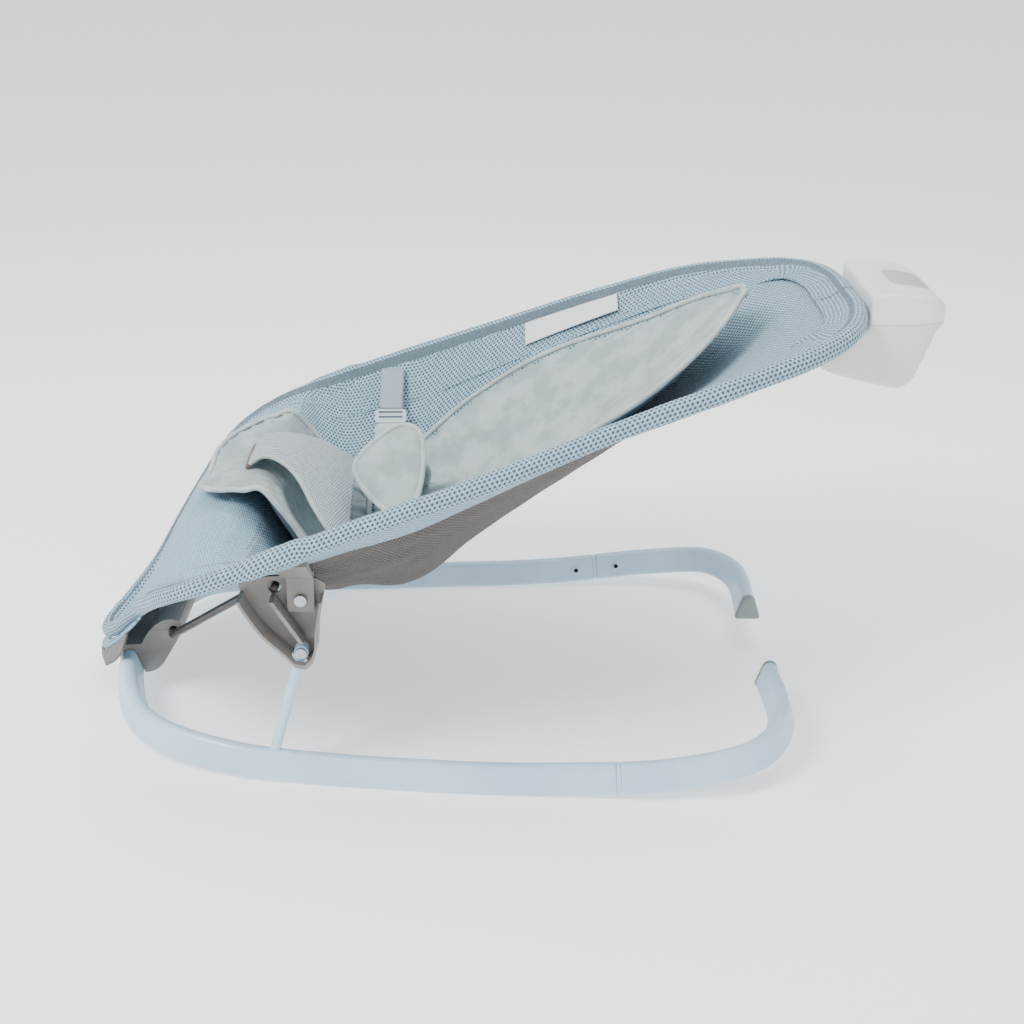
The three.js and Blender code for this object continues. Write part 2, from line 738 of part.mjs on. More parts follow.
function addHousing() {
  const { wall, seam } = HOUSING;
  const outer = housingForm();
  const shell = cut(outer, housingForm(wall));
  const posts = [-48, 48].map((y) => [440, y]);

  const lower = common(shell, block([340, -120, 330], [500, 120, seam]));
  const saddle = block([393, -56, 396], [407, 56, 411]);
  const sockets = posts.map(([x, y]) => rod([x, y, 344.5], [x, y, 396], 6.5, 12));
  const wells = posts.map(([x, y]) => rod([x, y, 330], [x, y, 384], 4.6, 10));
  const bores = posts.map(([x, y]) => rod([x, y, 380], [x, y, 410], 2.2, 8));
  const doorway = block([DOOR.x[0], -DOOR.half, 330], [DOOR.x[1], DOOR.half, 372]);
  const headTube = frameTube(-110, 110, 12, TUBE + EASE);
  const bottom = cut(join(lower, saddle, ...sockets), headTube, ...wells, ...bores, doorway);
  add("housing_bottom_shell", bottom, "housing");

  const { x, length, width, travel } = BUTTON;
  const upper = common(shell, block([340, -120, seam + GAP], [500, 120, 450]));
  const studs = posts.map(([px, py]) => rod([px, py, 396.4], [px, py, 430], 5, 12));
  const upperWithStuds = join(upper, common(join(...studs, block([439, -48, 426], [441, 48, 430])), outer));
  const window = slab(roundedPad(x, length + 1, width + 1, 12), 405, 450);
  add("housing_top_shell", cut(upperWithStuds, window, headTube, ...bores), "housing");

  const pad = common(slab(roundedPad(x, length, width, 12), 414, 450), outer);
  const stem = rod([x, 0, 412], [x, 0, 415], 5, 12);
  add("power_button", join(pad, stem), "cap");

  const door = block([DOOR.x[0] + GAP, -DOOR.half + GAP, 330], [DOOR.x[1] - GAP, DOOR.half - GAP, 372]);
  add("battery_door", common(shell, door), "housing");

  add("circuit_board", block([x - 16, -26, 408 - travel], [x + 14, 26, 409.6 - travel]), "board");
  add("battery_cell", rod([408, -30, 375], [408, 30, 375], 16.4, 20), "steel");
  add("vibration_motor", rod([441, -12, 372], [441, 10, 372], 9, 14), "steel");
  addPair("housing_screw", housingScrew(posts[1]), "steel");
}

function housingScrew([x, y]) {
  const head = rod([x, y, 381], [x, y, 383.6], 4, 10);
  return join(head, rod([x, y, 383], [x, y, 406], 1.8, 8));
}

// ---- infant insert ------------------------------------------------------------------------------------
const edges = Array.from({ length: 80 }, (_, i) => {
  const nose = LOOP_LENGTH / 2 - 30;
  return edgePoint(THREE.MathUtils.lerp(nose, 75, i / 79));
}).filter((point, i, all) => i === 0 || point.x > all[i - 1].x);
const edgeWidth = profile(edges.map((point) => [point.x, point.y]));
const edgeHeight = profile(edges.map((point) => [point.x, point.z]));

function slingHeight(x, y) {
  const across = Math.min(1, Math.abs(y) / edgeWidth(x));
  return edgeHeight(x) - dropAt(x, across);
}

const liftAt = profile(INSERT_LIFT);

// How far the pads curl up at their sides: most beside the drop into the seat.
function curlAt(x) {
  return 8 + 26 * Math.exp(-(((x + 128) / 26) ** 2));
}

function padSolid(widths, steps) {
  const halfAt = profile(widths);
  const [from, to] = [widths[0][0], widths.at(-1)[0]];
  const surface = (u, v) => {
    const x = THREE.MathUtils.lerp(from, to, u);
    const across = 2 * v - 1;
    const y = halfAt(x) * across;
    return new THREE.Vector3(x, y, slingHeight(x, y) + liftAt(x) + curlAt(x) * across ** 2);
  };
  return sheetSolid(surface, steps, 4, PAD);
}

// A strip of cloth along a line of points, level across, with a width at each end.
function strip(points, widthFrom, widthTo, thickness, steps) {
  const line = new THREE.CatmullRomCurve3(points.map((p) => new THREE.Vector3(...p)), false, "centripetal");
  const path = new Stretch(line);
  const surface = (u, v) => {
    const tangent = path.getTangentAt(Math.min(1, u));
    const side = new THREE.Vector3(0, 0, 1).cross(tangent).normalize();
    const width = THREE.MathUtils.lerp(widthFrom, widthTo, u);
    return path.getPointAt(Math.min(1, u)).addScaledVector(side, width * (v - 0.5));
  };
  return sheetSolid(surface, steps, 2, thickness);
}

function addInsert() {
  add("insert_leg_pad", padSolid(LEG_PAD, 12), "velour");
  add("insert_back_pad", padSolid(BACK_PAD, 12), "velour");
  const crotch = [
    [-176, 0, 248],
    [-154, 0, 260],
    [-120, 0, 262],
    [-92, 0, 250],
  ];
  add("crotch_restraint", strip(crotch, 54, 96, 4, 6), "mesh");
  const wingAt = (lift) => {
    const line = [[-56, 36, 212 + lift], [-38, 56, 202 + lift], [-22, 78, 180 + lift]];
    return strip(line, 44, 36, 6, 4);
  };
  add("hip_wing_right", wingAt(0), "velour", rightSide); // lies down on the back pad
  add("hip_wing_left", wingAt(52), "velour", leftSide); // stands up
}

// ---- waist restraint ----------------------------------------------------------------------------------
const buckleAxis = new THREE.Vector3(...BUCKLE.outer).sub(new THREE.Vector3(...BUCKLE.inner)).normalize();

// Moves a piece drawn along +X at the origin to a place on the right-hand waist strap.
function onStrap(geometry, place) {
  const side = new THREE.Vector3(0, 0, 1).cross(buckleAxis).normalize();
  const up = buckleAxis.clone().cross(side);
  const matrix = new THREE.Matrix4().makeBasis(buckleAxis, side, up).setPosition(...place);
  return geometry.applyMatrix4(matrix);
}

function buckleSocket() {
  const { length, width, thick } = BUCKLE;
  const body = slab(roundedPad(length / 2, length, width, 7), -thick / 2, thick / 2, 3);
  const mouth = block([8, -width / 2 + 3, -thick / 2 + 2.4], [length + 1, width / 2 - 3, thick / 2 - 2.4]);
  const windows = block([12, -width, -2.6], [24, width, 2.6]);
  const slot = block([2.4, -13, -thick], [5.4, 13, thick]);
  return cut(body, mouth, windows, slot);
}

function buckleTongue() {
  const { length, width, thick } = BUCKLE;
  const reach = width / 2 - 4;
  const head = slab(roundedPad(length + 11, 20, width, 5), -thick / 2, thick / 2, 3);
  const slot = block([length + 8, -13, -thick], [length + 11, 13, thick]);
  const secondSlot = block([length + 15, -13, -thick], [length + 18, 13, thick]);
  const guide = block([12, -3, -2.2], [length + 3, 3, 2.2]);
  const armShape = new THREE.Shape();
  armShape.moveTo(length + 3, reach);
  armShape.lineTo(length + 3, reach - 4);
  armShape.lineTo(16, reach - 4);
  armShape.lineTo(12, reach - 2);
  armShape.quadraticCurveTo(16, reach + 0.6, 23, reach + 0.6);
  armShape.lineTo(23.5, reach);
  armShape.lineTo(length + 3, reach);
  const arm = slab(armShape, -2.2, 2.2, 3);
  const otherArm = flip(geometryOf(solidOf(arm)).scale(1, -1, 1));
  return cut(join(head, guide, arm, otherArm), slot, secondSlot);
}

function addWaistRestraint() {
  addPair("buckle_socket", onStrap(buckleSocket(), BUCKLE.inner), "grey");
  addPair("buckle_tongue", onStrap(buckleTongue(), BUCKLE.inner), "grey");
  const { x, width, thick } = WEBBING;
  const route = [
    [x, 163, 236],
    [x, 180, 248],
    [x, 200, 262],
    [x, edgeWidth(x) - 13, edgeHeight(x) - 4],
  ];
  addPair("waist_strap", strip(route, width, width, thick, 4), "webbing");
}

// ---- care label ---------------------------------------------------------------------------------------
function addLabel() {
  const surface = (u, v) => {
    const x = THREE.MathUtils.lerp(98, 196, u);
    const y = THREE.MathUtils.lerp(0.86, 0.965, v) * edgeWidth(x);
    return new THREE.Vector3(x, y, slingHeight(x, y) + CLOTH / 2 + 3.2);
  };
  add("care_label", sheetSolid(surface, 5, 2, 0.8), "label");
}

addBase();
addFrontBracket();
addStruts();
addSpringWires();
addHubs();
addFrame();
addSling();
addNose();
addHousing();
addInsert();
addWaistRestraint();
addLabel();
export default object;
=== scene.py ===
import math

import bmesh
import bpy
import numpy as np
from mathutils import Matrix, Vector, noise


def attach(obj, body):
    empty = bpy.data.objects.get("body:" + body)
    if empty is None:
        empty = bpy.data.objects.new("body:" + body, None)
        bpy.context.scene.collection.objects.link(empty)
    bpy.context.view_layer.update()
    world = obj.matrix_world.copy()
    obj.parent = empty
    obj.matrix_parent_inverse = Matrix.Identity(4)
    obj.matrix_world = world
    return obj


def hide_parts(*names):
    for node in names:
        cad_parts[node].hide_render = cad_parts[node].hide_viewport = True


# Looks of a baby bouncer seat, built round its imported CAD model.
# Shapes are worked out in millimetres from the low point of the rocker, then placed in metres.
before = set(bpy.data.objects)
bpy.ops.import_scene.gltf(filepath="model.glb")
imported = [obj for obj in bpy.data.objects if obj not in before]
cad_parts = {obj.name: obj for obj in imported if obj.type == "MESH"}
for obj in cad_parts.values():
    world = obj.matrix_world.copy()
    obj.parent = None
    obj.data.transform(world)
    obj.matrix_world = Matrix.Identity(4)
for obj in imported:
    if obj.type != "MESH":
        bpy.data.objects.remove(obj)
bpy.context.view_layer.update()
SHIFT = np.array([-69.95, 0, 0])
SIDES = (("right", 1), ("left", -1))


# ---- lines ----
def catmull(points, closed=False, dense=60):
    """A centripetal Catmull-Rom curve through the points, as a dense polyline."""
    p = np.array(points, float)
    if closed:
        p = np.vstack([p[-1], p, p[0], p[1]])
    else:
        p = np.vstack([2 * p[0] - p[1], p, 2 * p[-1] - p[-2]])
    out = []
    for a, b, c, d in zip(p, p[1:], p[2:], p[3:]):
        t1 = np.linalg.norm(b - a) ** 0.5
        t2 = t1 + np.linalg.norm(c - b) ** 0.5
        t3 = t2 + np.linalg.norm(d - c) ** 0.5
        t = np.linspace(t1, t2, dense, endpoint=False)[:, None]
        ab = (t1 - t) / t1 * a + t / t1 * b
        bc = (t2 - t) / (t2 - t1) * b + (t - t1) / (t2 - t1) * c
        cd = (t3 - t) / (t3 - t2) * c + (t - t2) / (t3 - t2) * d
        abc = (t2 - t) / t2 * ab + t / t2 * bc
        bcd = (t3 - t) / (t3 - t1) * bc + (t - t1) / (t3 - t1) * cd
        out.append((t2 - t) / (t2 - t1) * abc + (t - t1) / (t2 - t1) * bcd)
    out.append(p[-2:-1])
    return np.vstack(out)


class Line:
    """A polyline read by the distance along it."""

    def __init__(self, points, closed=False):
        self.points = np.array(points, float)
        steps = np.linalg.norm(np.diff(self.points, axis=0), axis=1)
        self.marks = np.r_[0, np.cumsum(steps)]
        self.length = self.marks[-1]
        self.closed = closed

    def at(self, distance):
        d = np.asarray(distance, float)
        d = d % self.length if self.closed else np.clip(d, 0, self.length)
        return np.stack([np.interp(d, self.marks, self.points[:, k]) for k in range(3)], -1)

    def tangent(self, distance):
        d = np.asarray(distance, float)
        if not self.closed:
            d = np.clip(d, 1, self.length - 1)
        return unit(self.at(d + 1) - self.at(d - 1))


def unit(v):
    return v / np.maximum(np.linalg.norm(v, axis=-1, keepdims=True), 1e-12)


def smooth_profile(pairs):
    """A smooth function of x through the [x, value] pairs."""
    xs, ys = np.array(pairs, float).T
    slopes = np.gradient(ys, xs)

    def value(x):
        x = np.clip(np.asarray(x, float), xs[0], xs[-1])
        i = np.clip(np.searchsorted(xs, x, side="right") - 1, 0, len(xs) - 2)
        h = xs[i + 1] - xs[i]
        t = (x - xs[i]) / h
        return (
            (2 * t**3 - 3 * t**2 + 1) * ys[i]
            + (t**3 - 2 * t**2 + t) * h * slopes[i]
            + (3 * t**2 - 2 * t**3) * ys[i + 1]
            + (t**3 - t**2) * h * slopes[i + 1]
        )

    return value


def ramp(x, low, high):
    t = np.clip((np.asarray(x, float) - low) / (high - low), 0, 1)
    return t * t * (3 - 2 * t)


def rough(points, scale, seed=0.0):
    """Smooth noise, from -1 to 1, at each point in millimetres."""
    flat = np.asarray(points, float).reshape(-1, 3) * scale + seed
    return np.array([noise.noise(Vector(p)) for p in flat]).reshape(np.shape(points)[:-1])


# ---- meshes ----
def make_mesh(name, points, faces, uv=None, smooth=True):
    """An object from points in millimetres; uv holds one pair for each point, in metres."""
    data = bpy.data.meshes.new(name)
    metres = (np.asarray(points, float) + SHIFT) / 1000
    data.from_pydata(metres.tolist(), [], [list(map(int, f)) for f in faces])
    if uv is not None:
        layer = data.uv_layers.new(name="cloth")
        loops = np.zeros(len(data.loops), int)
        data.loops.foreach_get("vertex_index", loops)
        layer.data.foreach_set("uv", np.asarray(uv, float)[loops].ravel())
    if smooth:
        data.shade_smooth()
    data.update()
    piece = bpy.data.objects.new(name, data)
    bpy.context.scene.collection.objects.link(piece)
    return piece


def outward(piece):
    """Turns the faces of a closed mesh to point out."""
    work = bmesh.new()
    work.from_mesh(piece.data)
    bmesh.ops.recalc_face_normals(work, faces=work.faces)
    work.to_mesh(piece.data)
    work.free()
    return piece


def strip_faces(rows, columns, close_rows=False, close_columns=False, base=0):
    faces = []
    for i in range(rows if close_rows else rows - 1):
        for j in range(columns if close_columns else columns - 1):
            a, b = i * columns + j, i * columns + (j + 1) % columns
            c, d = (i + 1) % rows * columns + (j + 1) % columns, (i + 1) % rows * columns + j
            faces.append((base + a, base + b, base + c, base + d))
    return faces


def tube_mesh(name, sections, uv=None, closed=False, smooth=True):
    """A closed mesh through a row of closed sections, capped at its ends unless it is a loop."""
    rows, columns = sections.shape[:2]
    faces = strip_faces(rows, columns, closed, True)
    if not closed:
        faces.append(tuple(range(columns))[::-1])
        faces.append(tuple((rows - 1) * columns + j for j in range(columns)))
    flat = None if uv is None else uv.reshape(-1, 2)
    return outward(make_mesh(name, sections.reshape(-1, 3), faces, flat, smooth))


def grid_normals(p):
    return unit(np.cross(np.gradient(p, axis=0), np.gradient(p, axis=1)))


def sheet_mesh(name, p, uv, thickness):
    """A sheet of even thickness about a grid of points."""
    rows, columns = p.shape[:2]
    n = grid_normals(p) * thickness / 2
    points = np.vstack([(p + n).reshape(-1, 3), (p - n).reshape(-1, 3)])
    under = rows * columns
    faces = strip_faces(rows, columns) + [f[::-1] for f in strip_faces(rows, columns, base=under)]
    rim = rim_indices(rows, columns)
    faces += [(b, a, a + under, b + under) for a, b in zip(rim, rim[1:] + rim[:1])]
    return outward(make_mesh(name, points, faces, np.vstack([uv.reshape(-1, 2)] * 2)))


def grid_uv(p):
    """Distances along the two directions of a grid of points, in metres."""
    u = np.cumsum(np.linalg.norm(np.diff(p, axis=0, prepend=p[:1]), axis=2), axis=0)
    v = np.cumsum(np.linalg.norm(np.diff(p, axis=1, prepend=p[:, :1]), axis=2), axis=1)
    middle = v[:, v.shape[1] // 2][:, None]
    return np.stack([np.broadcast_to(u.mean(axis=1)[:, None], u.shape), v - middle], -1) / 1000


def frames(line, distances):
    """Places, tangents, level sides and ups along a line."""
    t = line.tangent(distances)
    side = unit(np.cross([0, 0, 1], t))
    return line.at(distances), t, side, np.cross(t, side)


def sweep_sections(line, distances, section):
    """A section of (side, up) pairs, one or one for each distance, carried along a line."""
    place, _, side, up = frames(line, distances)
    s = np.broadcast_to(section, (len(distances),) + np.shape(section)[-2:])
    return place[:, None] + s[..., :1] * side[:, None] + s[..., 1:] * up[:, None]


def sweep(name, line, start, end, steps, section):
    distances = np.linspace(start, end, steps + 1)
    sections = sweep_sections(line, distances, section)
    return tube_mesh(name, sections)


def circle(radius, sides=24):
    a = np.linspace(0, 2 * math.pi, sides, endpoint=False)
    return np.stack([radius * np.cos(a), radius * np.sin(a)], -1)


def lathe(name, place, axis, profile_pairs, sides=28):
    """A turned piece: (radius, height) pairs about an axis through a place."""
    t = unit(np.array(axis, float))
    helper = np.array([0, 0, 1.0]) if abs(t[2]) < 0.9 else np.array([1.0, 0, 0])
    side = unit(np.cross(helper, t))
    up = np.cross(t, side)
    rings = []
    for radius, height in profile_pairs:
        ring = circle(max(radius, 1e-3), sides)
        rings.append(np.array(place) + t * height + ring[:, :1] * side + ring[:, 1:] * up)
    return tube_mesh(name, np.stack(rings))


def bevel(piece, width, segments=2, angle=30):
    """Rounds the sharp edges of a piece."""
    cut = piece.modifiers.new("rounded edges", "BEVEL")
    cut.width = width / 1000
    cut.segments = segments
    cut.limit_method = "ANGLE"
    cut.angle_limit = math.radians(angle)
    cut.harden_normals = False
    return piece


def soft_corners(points, support=0.8, shortest=4.0):
    """Adds points near the ends of each long straight side, so that smooth shading keeps it flat."""
    out = []
    for a, b in zip(points, np.roll(points, -1, axis=0)):
        out.append(a)
        length = np.linalg.norm(b - a)
        if length > shortest:
            out.append(a + (b - a) * support / length)
            out.append(b - (b - a) * support / length)
    return np.array(out)


def quad(a, b, c, count=6):
    """A quadratic curve from a by b to c, without its last point."""
    t = np.linspace(0, 1, count, endpoint=False)[:, None]
    a, b, c = (np.array(p, float) for p in (a, b, c))
    return (1 - t) ** 2 * a + 2 * t * (1 - t) * b + t**2 * c


def place(piece, body, slot, *nodes):
    """Puts a piece on its body and hides the CAD nodes that it stands for; slot, the name of its finish, is not
    used.
    """
    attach(piece, body)
    if nodes:
        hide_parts(*nodes)
    return piece


def dress(piece, *materials):
    piece.data.materials.clear()
    for m in materials:
        piece.data.materials.append(m)
    return piece


# ---- materials ----
class Finish:
    """A material's node graph, written as expressions."""

    def __init__(self, name, **settings):
        self.material = bpy.data.materials.new(name)
        self.material.use_nodes = True
        self.tree = self.material.node_tree
        self.shader = self.tree.nodes["Principled BSDF"]
        for key, value in settings.items():
            self.shader.inputs[key.replace("_", " ")].default_value = value

    def node(self, kind, inputs=(), **settings):
        made = self.tree.nodes.new(kind)
        for key, value in settings.items():
            setattr(made, key, value)
        for key, value in dict(inputs).items():
            self.feed(made.inputs[key], value)
        return made

    def feed(self, socket, value):
        if isinstance(value, bpy.types.NodeSocket):
            self.tree.links.new(value, socket)
        else:
            socket.default_value = value

    def math(self, operation, a, b=0.0, clamp=False):
        made = self.node("ShaderNodeMath", operation=operation, use_clamp=clamp)
        self.feed(made.inputs[0], a)
        self.feed(made.inputs[1], b)
        return made.outputs[0]

    def vector(self, operation, a, b=(0, 0, 0)):
        made = self.node("ShaderNodeVectorMath", operation=operation)
        self.feed(made.inputs[0], a)
        self.feed(made.inputs[1], b)
        return made.outputs["Value" if operation == "LENGTH" else "Vector"]

    def step(self, value, low, high, to_low=0.0, to_high=1.0):
        made = self.node("ShaderNodeMapRange", interpolation_type="SMOOTHSTEP")
        keys = ("Value", "From Min", "From Max", "To Min", "To Max")
        for key, v in zip(keys, (value, low, high, to_low, to_high)):
            self.feed(made.inputs[key], v)
        return made.outputs["Result"]

    def mix(self, share, a, b):
        made = self.node("ShaderNodeMix", data_type="RGBA")
        self.feed(made.inputs["Factor"], share)
        self.feed(made.inputs["A"], a)
        self.feed(made.inputs["B"], b)
        return made.outputs["Result"]

    def noise(self, scale, detail=3.0, roughness=0.55, where=None):
        coordinates = where or self.node("ShaderNodeTexCoord").outputs["Object"]
        made = self.node("ShaderNodeTexNoise", {"Vector": coordinates, "Scale": scale, "Detail": detail,
                                                "Roughness": roughness})
        return made.outputs["Fac"]

    def uv(self):
        return self.node("ShaderNodeUVMap", uv_map="cloth").outputs["UV"]

    def colour(self, value):
        self.feed(self.shader.inputs["Base Color"], value)
        return self

    def rough(self, value):
        self.feed(self.shader.inputs["Roughness"], value)
        return self

    def bump(self, height, distance, strength=1.0):
        made = self.node("ShaderNodeBump", {"Height": height, "Distance": distance, "Strength": strength})
        self.tree.links.new(made.outputs["Normal"], self.shader.inputs["Normal"])
        return self

    def hexagons(self, pitch, where):
        """Distance to the nearest point of a staggered grid, in pitches."""
        cell = (1.0, math.sqrt(3.0), 1.0)
        scaled = self.vector("MULTIPLY", where, (1 / pitch, 1 / pitch, 0))
        distances = []
        for offset in ((0, 0, 0), (0.5, math.sqrt(3.0) / 2, 0)):
            moved = self.vector("ADD", scaled, offset)
            share = self.vector("FRACTION", self.vector("DIVIDE", moved, cell))
            centred = self.vector("SUBTRACT", share, (0.5, 0.5, 0))
            centred = self.vector("MULTIPLY", centred, (1, math.sqrt(3.0), 0))
            distances.append(self.vector("LENGTH", centred))
        return self.math("MINIMUM", *distances)


def rgb(r, g, b):
    """A colour given as it is seen, from 0 to 255, as linear light."""
    def linear(c):
        c /= 255
        return c / 12.92 if c <= 0.04045 else ((c + 0.055) / 1.055) ** 2.4

    return (linear(r), linear(g), linear(b), 1.0)


def enamel(name, light, dark, roughness=0.38):
    f = Finish(name, Coat_Weight=0.25, Coat_Roughness=0.2)
    cloud = f.noise(9, 4)
    f.colour(f.mix(f.step(cloud, 0.35, 0.65), light, dark))
    f.rough(f.step(f.noise(60, 3), 0.3, 0.7, roughness - 0.05, roughness + 0.08))
    f.bump(f.noise(900, 2), 0.00006)
    return f.material


def moulded(name, light, dark, roughness=0.5, grain=1400, depth=0.00008):
    f = Finish(name)
    f.colour(f.mix(f.step(f.noise(14, 4), 0.35, 0.65), light, dark))
    f.rough(f.step(f.noise(45, 3), 0.3, 0.7, roughness - 0.06, roughness + 0.08))
    f.bump(f.noise(grain, 3), depth)
    return f.material


def metal(name, light, dark, roughness=0.35):
    f = Finish(name, Metallic=1.0)
    f.colour(f.mix(f.noise(120, 3), light, dark))
    f.rough(f.step(f.noise(300, 3), 0.3, 0.7, roughness - 0.08, roughness + 0.12))
    f.bump(f.noise(1500, 2), 0.00004)
    return f.material


def open_mesh(name, light, dark, hole, pitch, size, depth=0.0009):
    """Spacer mesh with staggered holes."""
    f = Finish(name, Roughness=0.88, Sheen_Weight=0.15, Sheen_Roughness=0.5)
    where = f.uv()
    gap = f.hexagons(pitch, where)
    open_share = f.step(gap, size, size + 0.16, 1.0, 0.0)
    yarn = f.mix(f.step(f.noise(260, 3), 0.3, 0.7), light, dark)
    f.colour(f.mix(open_share, yarn, hole))
    f.bump(f.math("ADD", f.step(gap, size - 0.05, 0.55), f.math("MULTIPLY", f.noise(2400, 2), 0.25)), depth)
    return f.material


def ribbed_mesh(name, light, dark, hole):
    """Fine mesh with ribs across it and a small hole between each pair."""
    f = Finish(name, Roughness=0.9, Sheen_Weight=0.15, Sheen_Roughness=0.5)
    where = f.uv()
    gap = f.hexagons(0.0027, f.vector("MULTIPLY", where, (1.0, 0.62, 1.0)))
    open_share = f.step(gap, 0.17, 0.36, 1.0, 0.0)
    yarn = f.mix(f.step(f.noise(300, 3), 0.3, 0.7), light, dark)
    f.colour(f.mix(f.math("MULTIPLY", open_share, 0.75), yarn, hole))
    f.bump(f.step(gap, 0.1, 0.5), 0.0006)
    return f.material


def velour(name, light, dark):
    f = Finish(name, Roughness=0.92, Sheen_Weight=0.5, Sheen_Roughness=0.35)
    crushed = f.step(f.noise(32, 5, 0.6), 0.38, 0.62)
    pile = f.noise(2600, 3, 0.7)
    f.colour(f.mix(crushed, dark, light))
    f.bump(f.math("ADD", f.math("MULTIPLY", pile, 0.5), crushed), 0.0005)
    return f.material


def webbing(name, light, dark):
    f = Finish(name, Roughness=0.85)
    where = f.uv()
    spread = f.node("ShaderNodeSeparateXYZ", {"Vector": where})
    across = f.math("SINE", f.math("MULTIPLY", spread.outputs["X"], 2 * math.pi / 0.0016))
    along = f.math("SINE", f.math("MULTIPLY", spread.outputs["Y"], 2 * math.pi / 0.0021))
    weave = f.math("MULTIPLY", across, along)
    f.colour(f.mix(f.step(weave, -0.6, 0.6), dark, light))
    f.bump(f.step(weave, -1, 1), 0.0003)
    return f.material


def looped(name, light, dark):
    """The soft side of hook and loop tape."""
    f = Finish(name, Roughness=0.97, Sheen_Weight=0.4, Sheen_Roughness=0.6)
    fuzz = f.noise(1300, 5, 0.75)
    f.colour(f.mix(f.step(fuzz, 0.35, 0.65), dark, light))
    f.bump(fuzz, 0.0011)
    return f.material


def dotted(name, light, dot):
    """Plain lining with a staggered grid of small dots."""
    f = Finish(name, Roughness=0.9)
    gap = f.hexagons(0.011, f.uv())
    f.colour(f.mix(f.step(gap, 0.2, 0.28, 1.0, 0.0), f.mix(f.noise(40, 3), light, rgb(205, 208, 208)), dot))
    f.bump(f.noise(1800, 2), 0.0003)
    return f.material


ENAMEL = enamel("enamel", rgb(194, 222, 240), rgb(180, 210, 230))
CAP = moulded("cap plastic", rgb(134, 148, 148), rgb(118, 133, 134))
HUB = moulded("hub plastic", rgb(144, 138, 133), rgb(122, 117, 112), 0.45)
STEEL = metal("zinc steel", rgb(190, 192, 195), rgb(150, 153, 158))
# Near black for the screws' drive hollows: painted shade in the recess.
SOCKET_PAINTED_SHADE = moulded("painted recess shade", rgb(38, 38, 40), rgb(24, 24, 26), 0.7)
BRONZE = enamel("dark tube", rgb(66, 56, 50), rgb(48, 41, 37), 0.4)
BAND_MESH = open_mesh("band mesh", rgb(186, 198, 206), rgb(166, 178, 187), rgb(112, 122, 130), 0.003, 0.2,
                      0.0005)
# Dark brown copy of the open mesh, for faces that look down: painted shade of the sling's underside.
MESH_UNDERSIDE_SHADE = open_mesh("mesh painted underside shade", rgb(86, 77, 73), rgb(69, 61, 57), rgb(34, 29, 27), 0.0044, 0.2)
MESH = open_mesh("open mesh", rgb(164, 196, 212), rgb(140, 174, 192), rgb(56, 72, 86), 0.0044, 0.2)
RIBBED = ribbed_mesh("ribbed mesh", rgb(160, 198, 216), rgb(136, 176, 196), rgb(76, 94, 108))
VELOUR = velour("crushed velour", rgb(172, 186, 188), rgb(148, 163, 166))
PIPING = velour("piping", rgb(188, 197, 197), rgb(168, 178, 178))
# Dark brown velour for the cord round the slit: painted shade of the slit opening.
SLIT_PAINTED_SHADE = velour("slit binding painted shade", rgb(128, 122, 112), rgb(92, 86, 80))
LINING = dotted("dotted lining", rgb(222, 224, 223), rgb(96, 108, 118))
LOOP = looped("loop tape", rgb(98, 92, 94), rgb(60, 56, 59))
WEBBING = webbing("webbing", rgb(166, 184, 195), rgb(128, 146, 158))
BUCKLE = moulded("buckle plastic", rgb(176, 188, 195), rgb(160, 172, 180), 0.42)
SHELL = moulded("housing plastic", rgb(240, 239, 236), rgb(232, 231, 228), 0.34, 1800, 0.00003)
# Slightly darker copy of the housing plastic for the lower shell and battery door: painted shade under the
# housing.
SHELL_PAINTED_SHADE = moulded("lower housing plastic painted shade", rgb(231, 228, 225), rgb(222, 218, 215), 0.38, 1800, 0.00003)
BUTTON = moulded("soft button", rgb(188, 189, 185), rgb(176, 178, 174), 0.6)
BOARD = moulded("solder mask", rgb(38, 104, 66), rgb(30, 86, 54), 0.4)
LABEL = webbing("label cloth", rgb(240, 241, 240), rgb(226, 228, 228))
THREAD = webbing("thread", rgb(176, 188, 194), rgb(150, 162, 170))


# ---- rocker base ----
RAIL_PLAN = [(-307, 0), (-293, 87), (-260, 152), (-184, 186), (-80, 200), (29, 210), (138, 216), (238, 221),
             (312, 204), (342, 156), (344, 68)]
REAR_TUBE = 277
COLLAR = 2
EDGE = 0.35
CAP_FLANGE = 5
RAIL_SCREWS = 24


def rail_line():
    left = [(x, -y, 0) for x, y in RAIL_PLAN[:0:-1]]
    right = [(x, y, 0) for x, y in RAIL_PLAN]
    p = catmull(left + right)
    past = np.maximum(0, np.abs(p[:, 0]) - 45)
    p[:, 2] = 21.3 * (past / 255) ** 2
    return Line(p)


def rail_section(inset=0.0, corner=4.0):
    half, top = 13.5 - inset, 27 - inset
    parts = [
        quad((half - corner, inset), (half, inset), (half - 0.7, inset + corner)),
        quad((half * 0.5, top - 4.5), (half * 0.32, top), (0, top)),
        quad((0, top), (-half * 0.32, top), (-half * 0.5, top - 4.5)),
        quad((-half + 0.7, inset + corner), (-half, inset), (-half + corner, inset)),
    ]
    ends = [(half - 0.7, inset + corner), None, (-half * 0.5, top - 4.5), (-half + corner, inset)]
    out = []
    for part, end in zip(parts, ends):
        out.extend(part)
        if end is not None:
            out.append(np.array(end, float))
    return soft_corners(np.array(out))


def rail_tube(name, line, start, end, steps):
    """A length of rail with the edges of its cut ends rounded."""
    lead = np.array([0, 0.25, 0.7])
    insets = np.array([0.7, 0.25, 0])
    distances = np.r_[start + lead, np.linspace(start + 3, end - 3, steps), end - lead[::-1]]
    shrink = np.r_[insets, np.zeros(steps), insets[::-1]]
    sections = np.stack([rail_section(s) for s in shrink])
    return tube_mesh(name, sweep_sections(line, distances, sections))


SCREW_TILT = math.radians(17)
SCREW_PROFILE = [(0, -1), (4.4, -1), (4.6, 0.9), (4.5, 1.5), (4.0, 2.1), (2.6, 2.5), (1.9, 2.4),
                 (1.7, 1.2), (0, 1.0)]  # radius and height; the hollow of the drive is in the middle


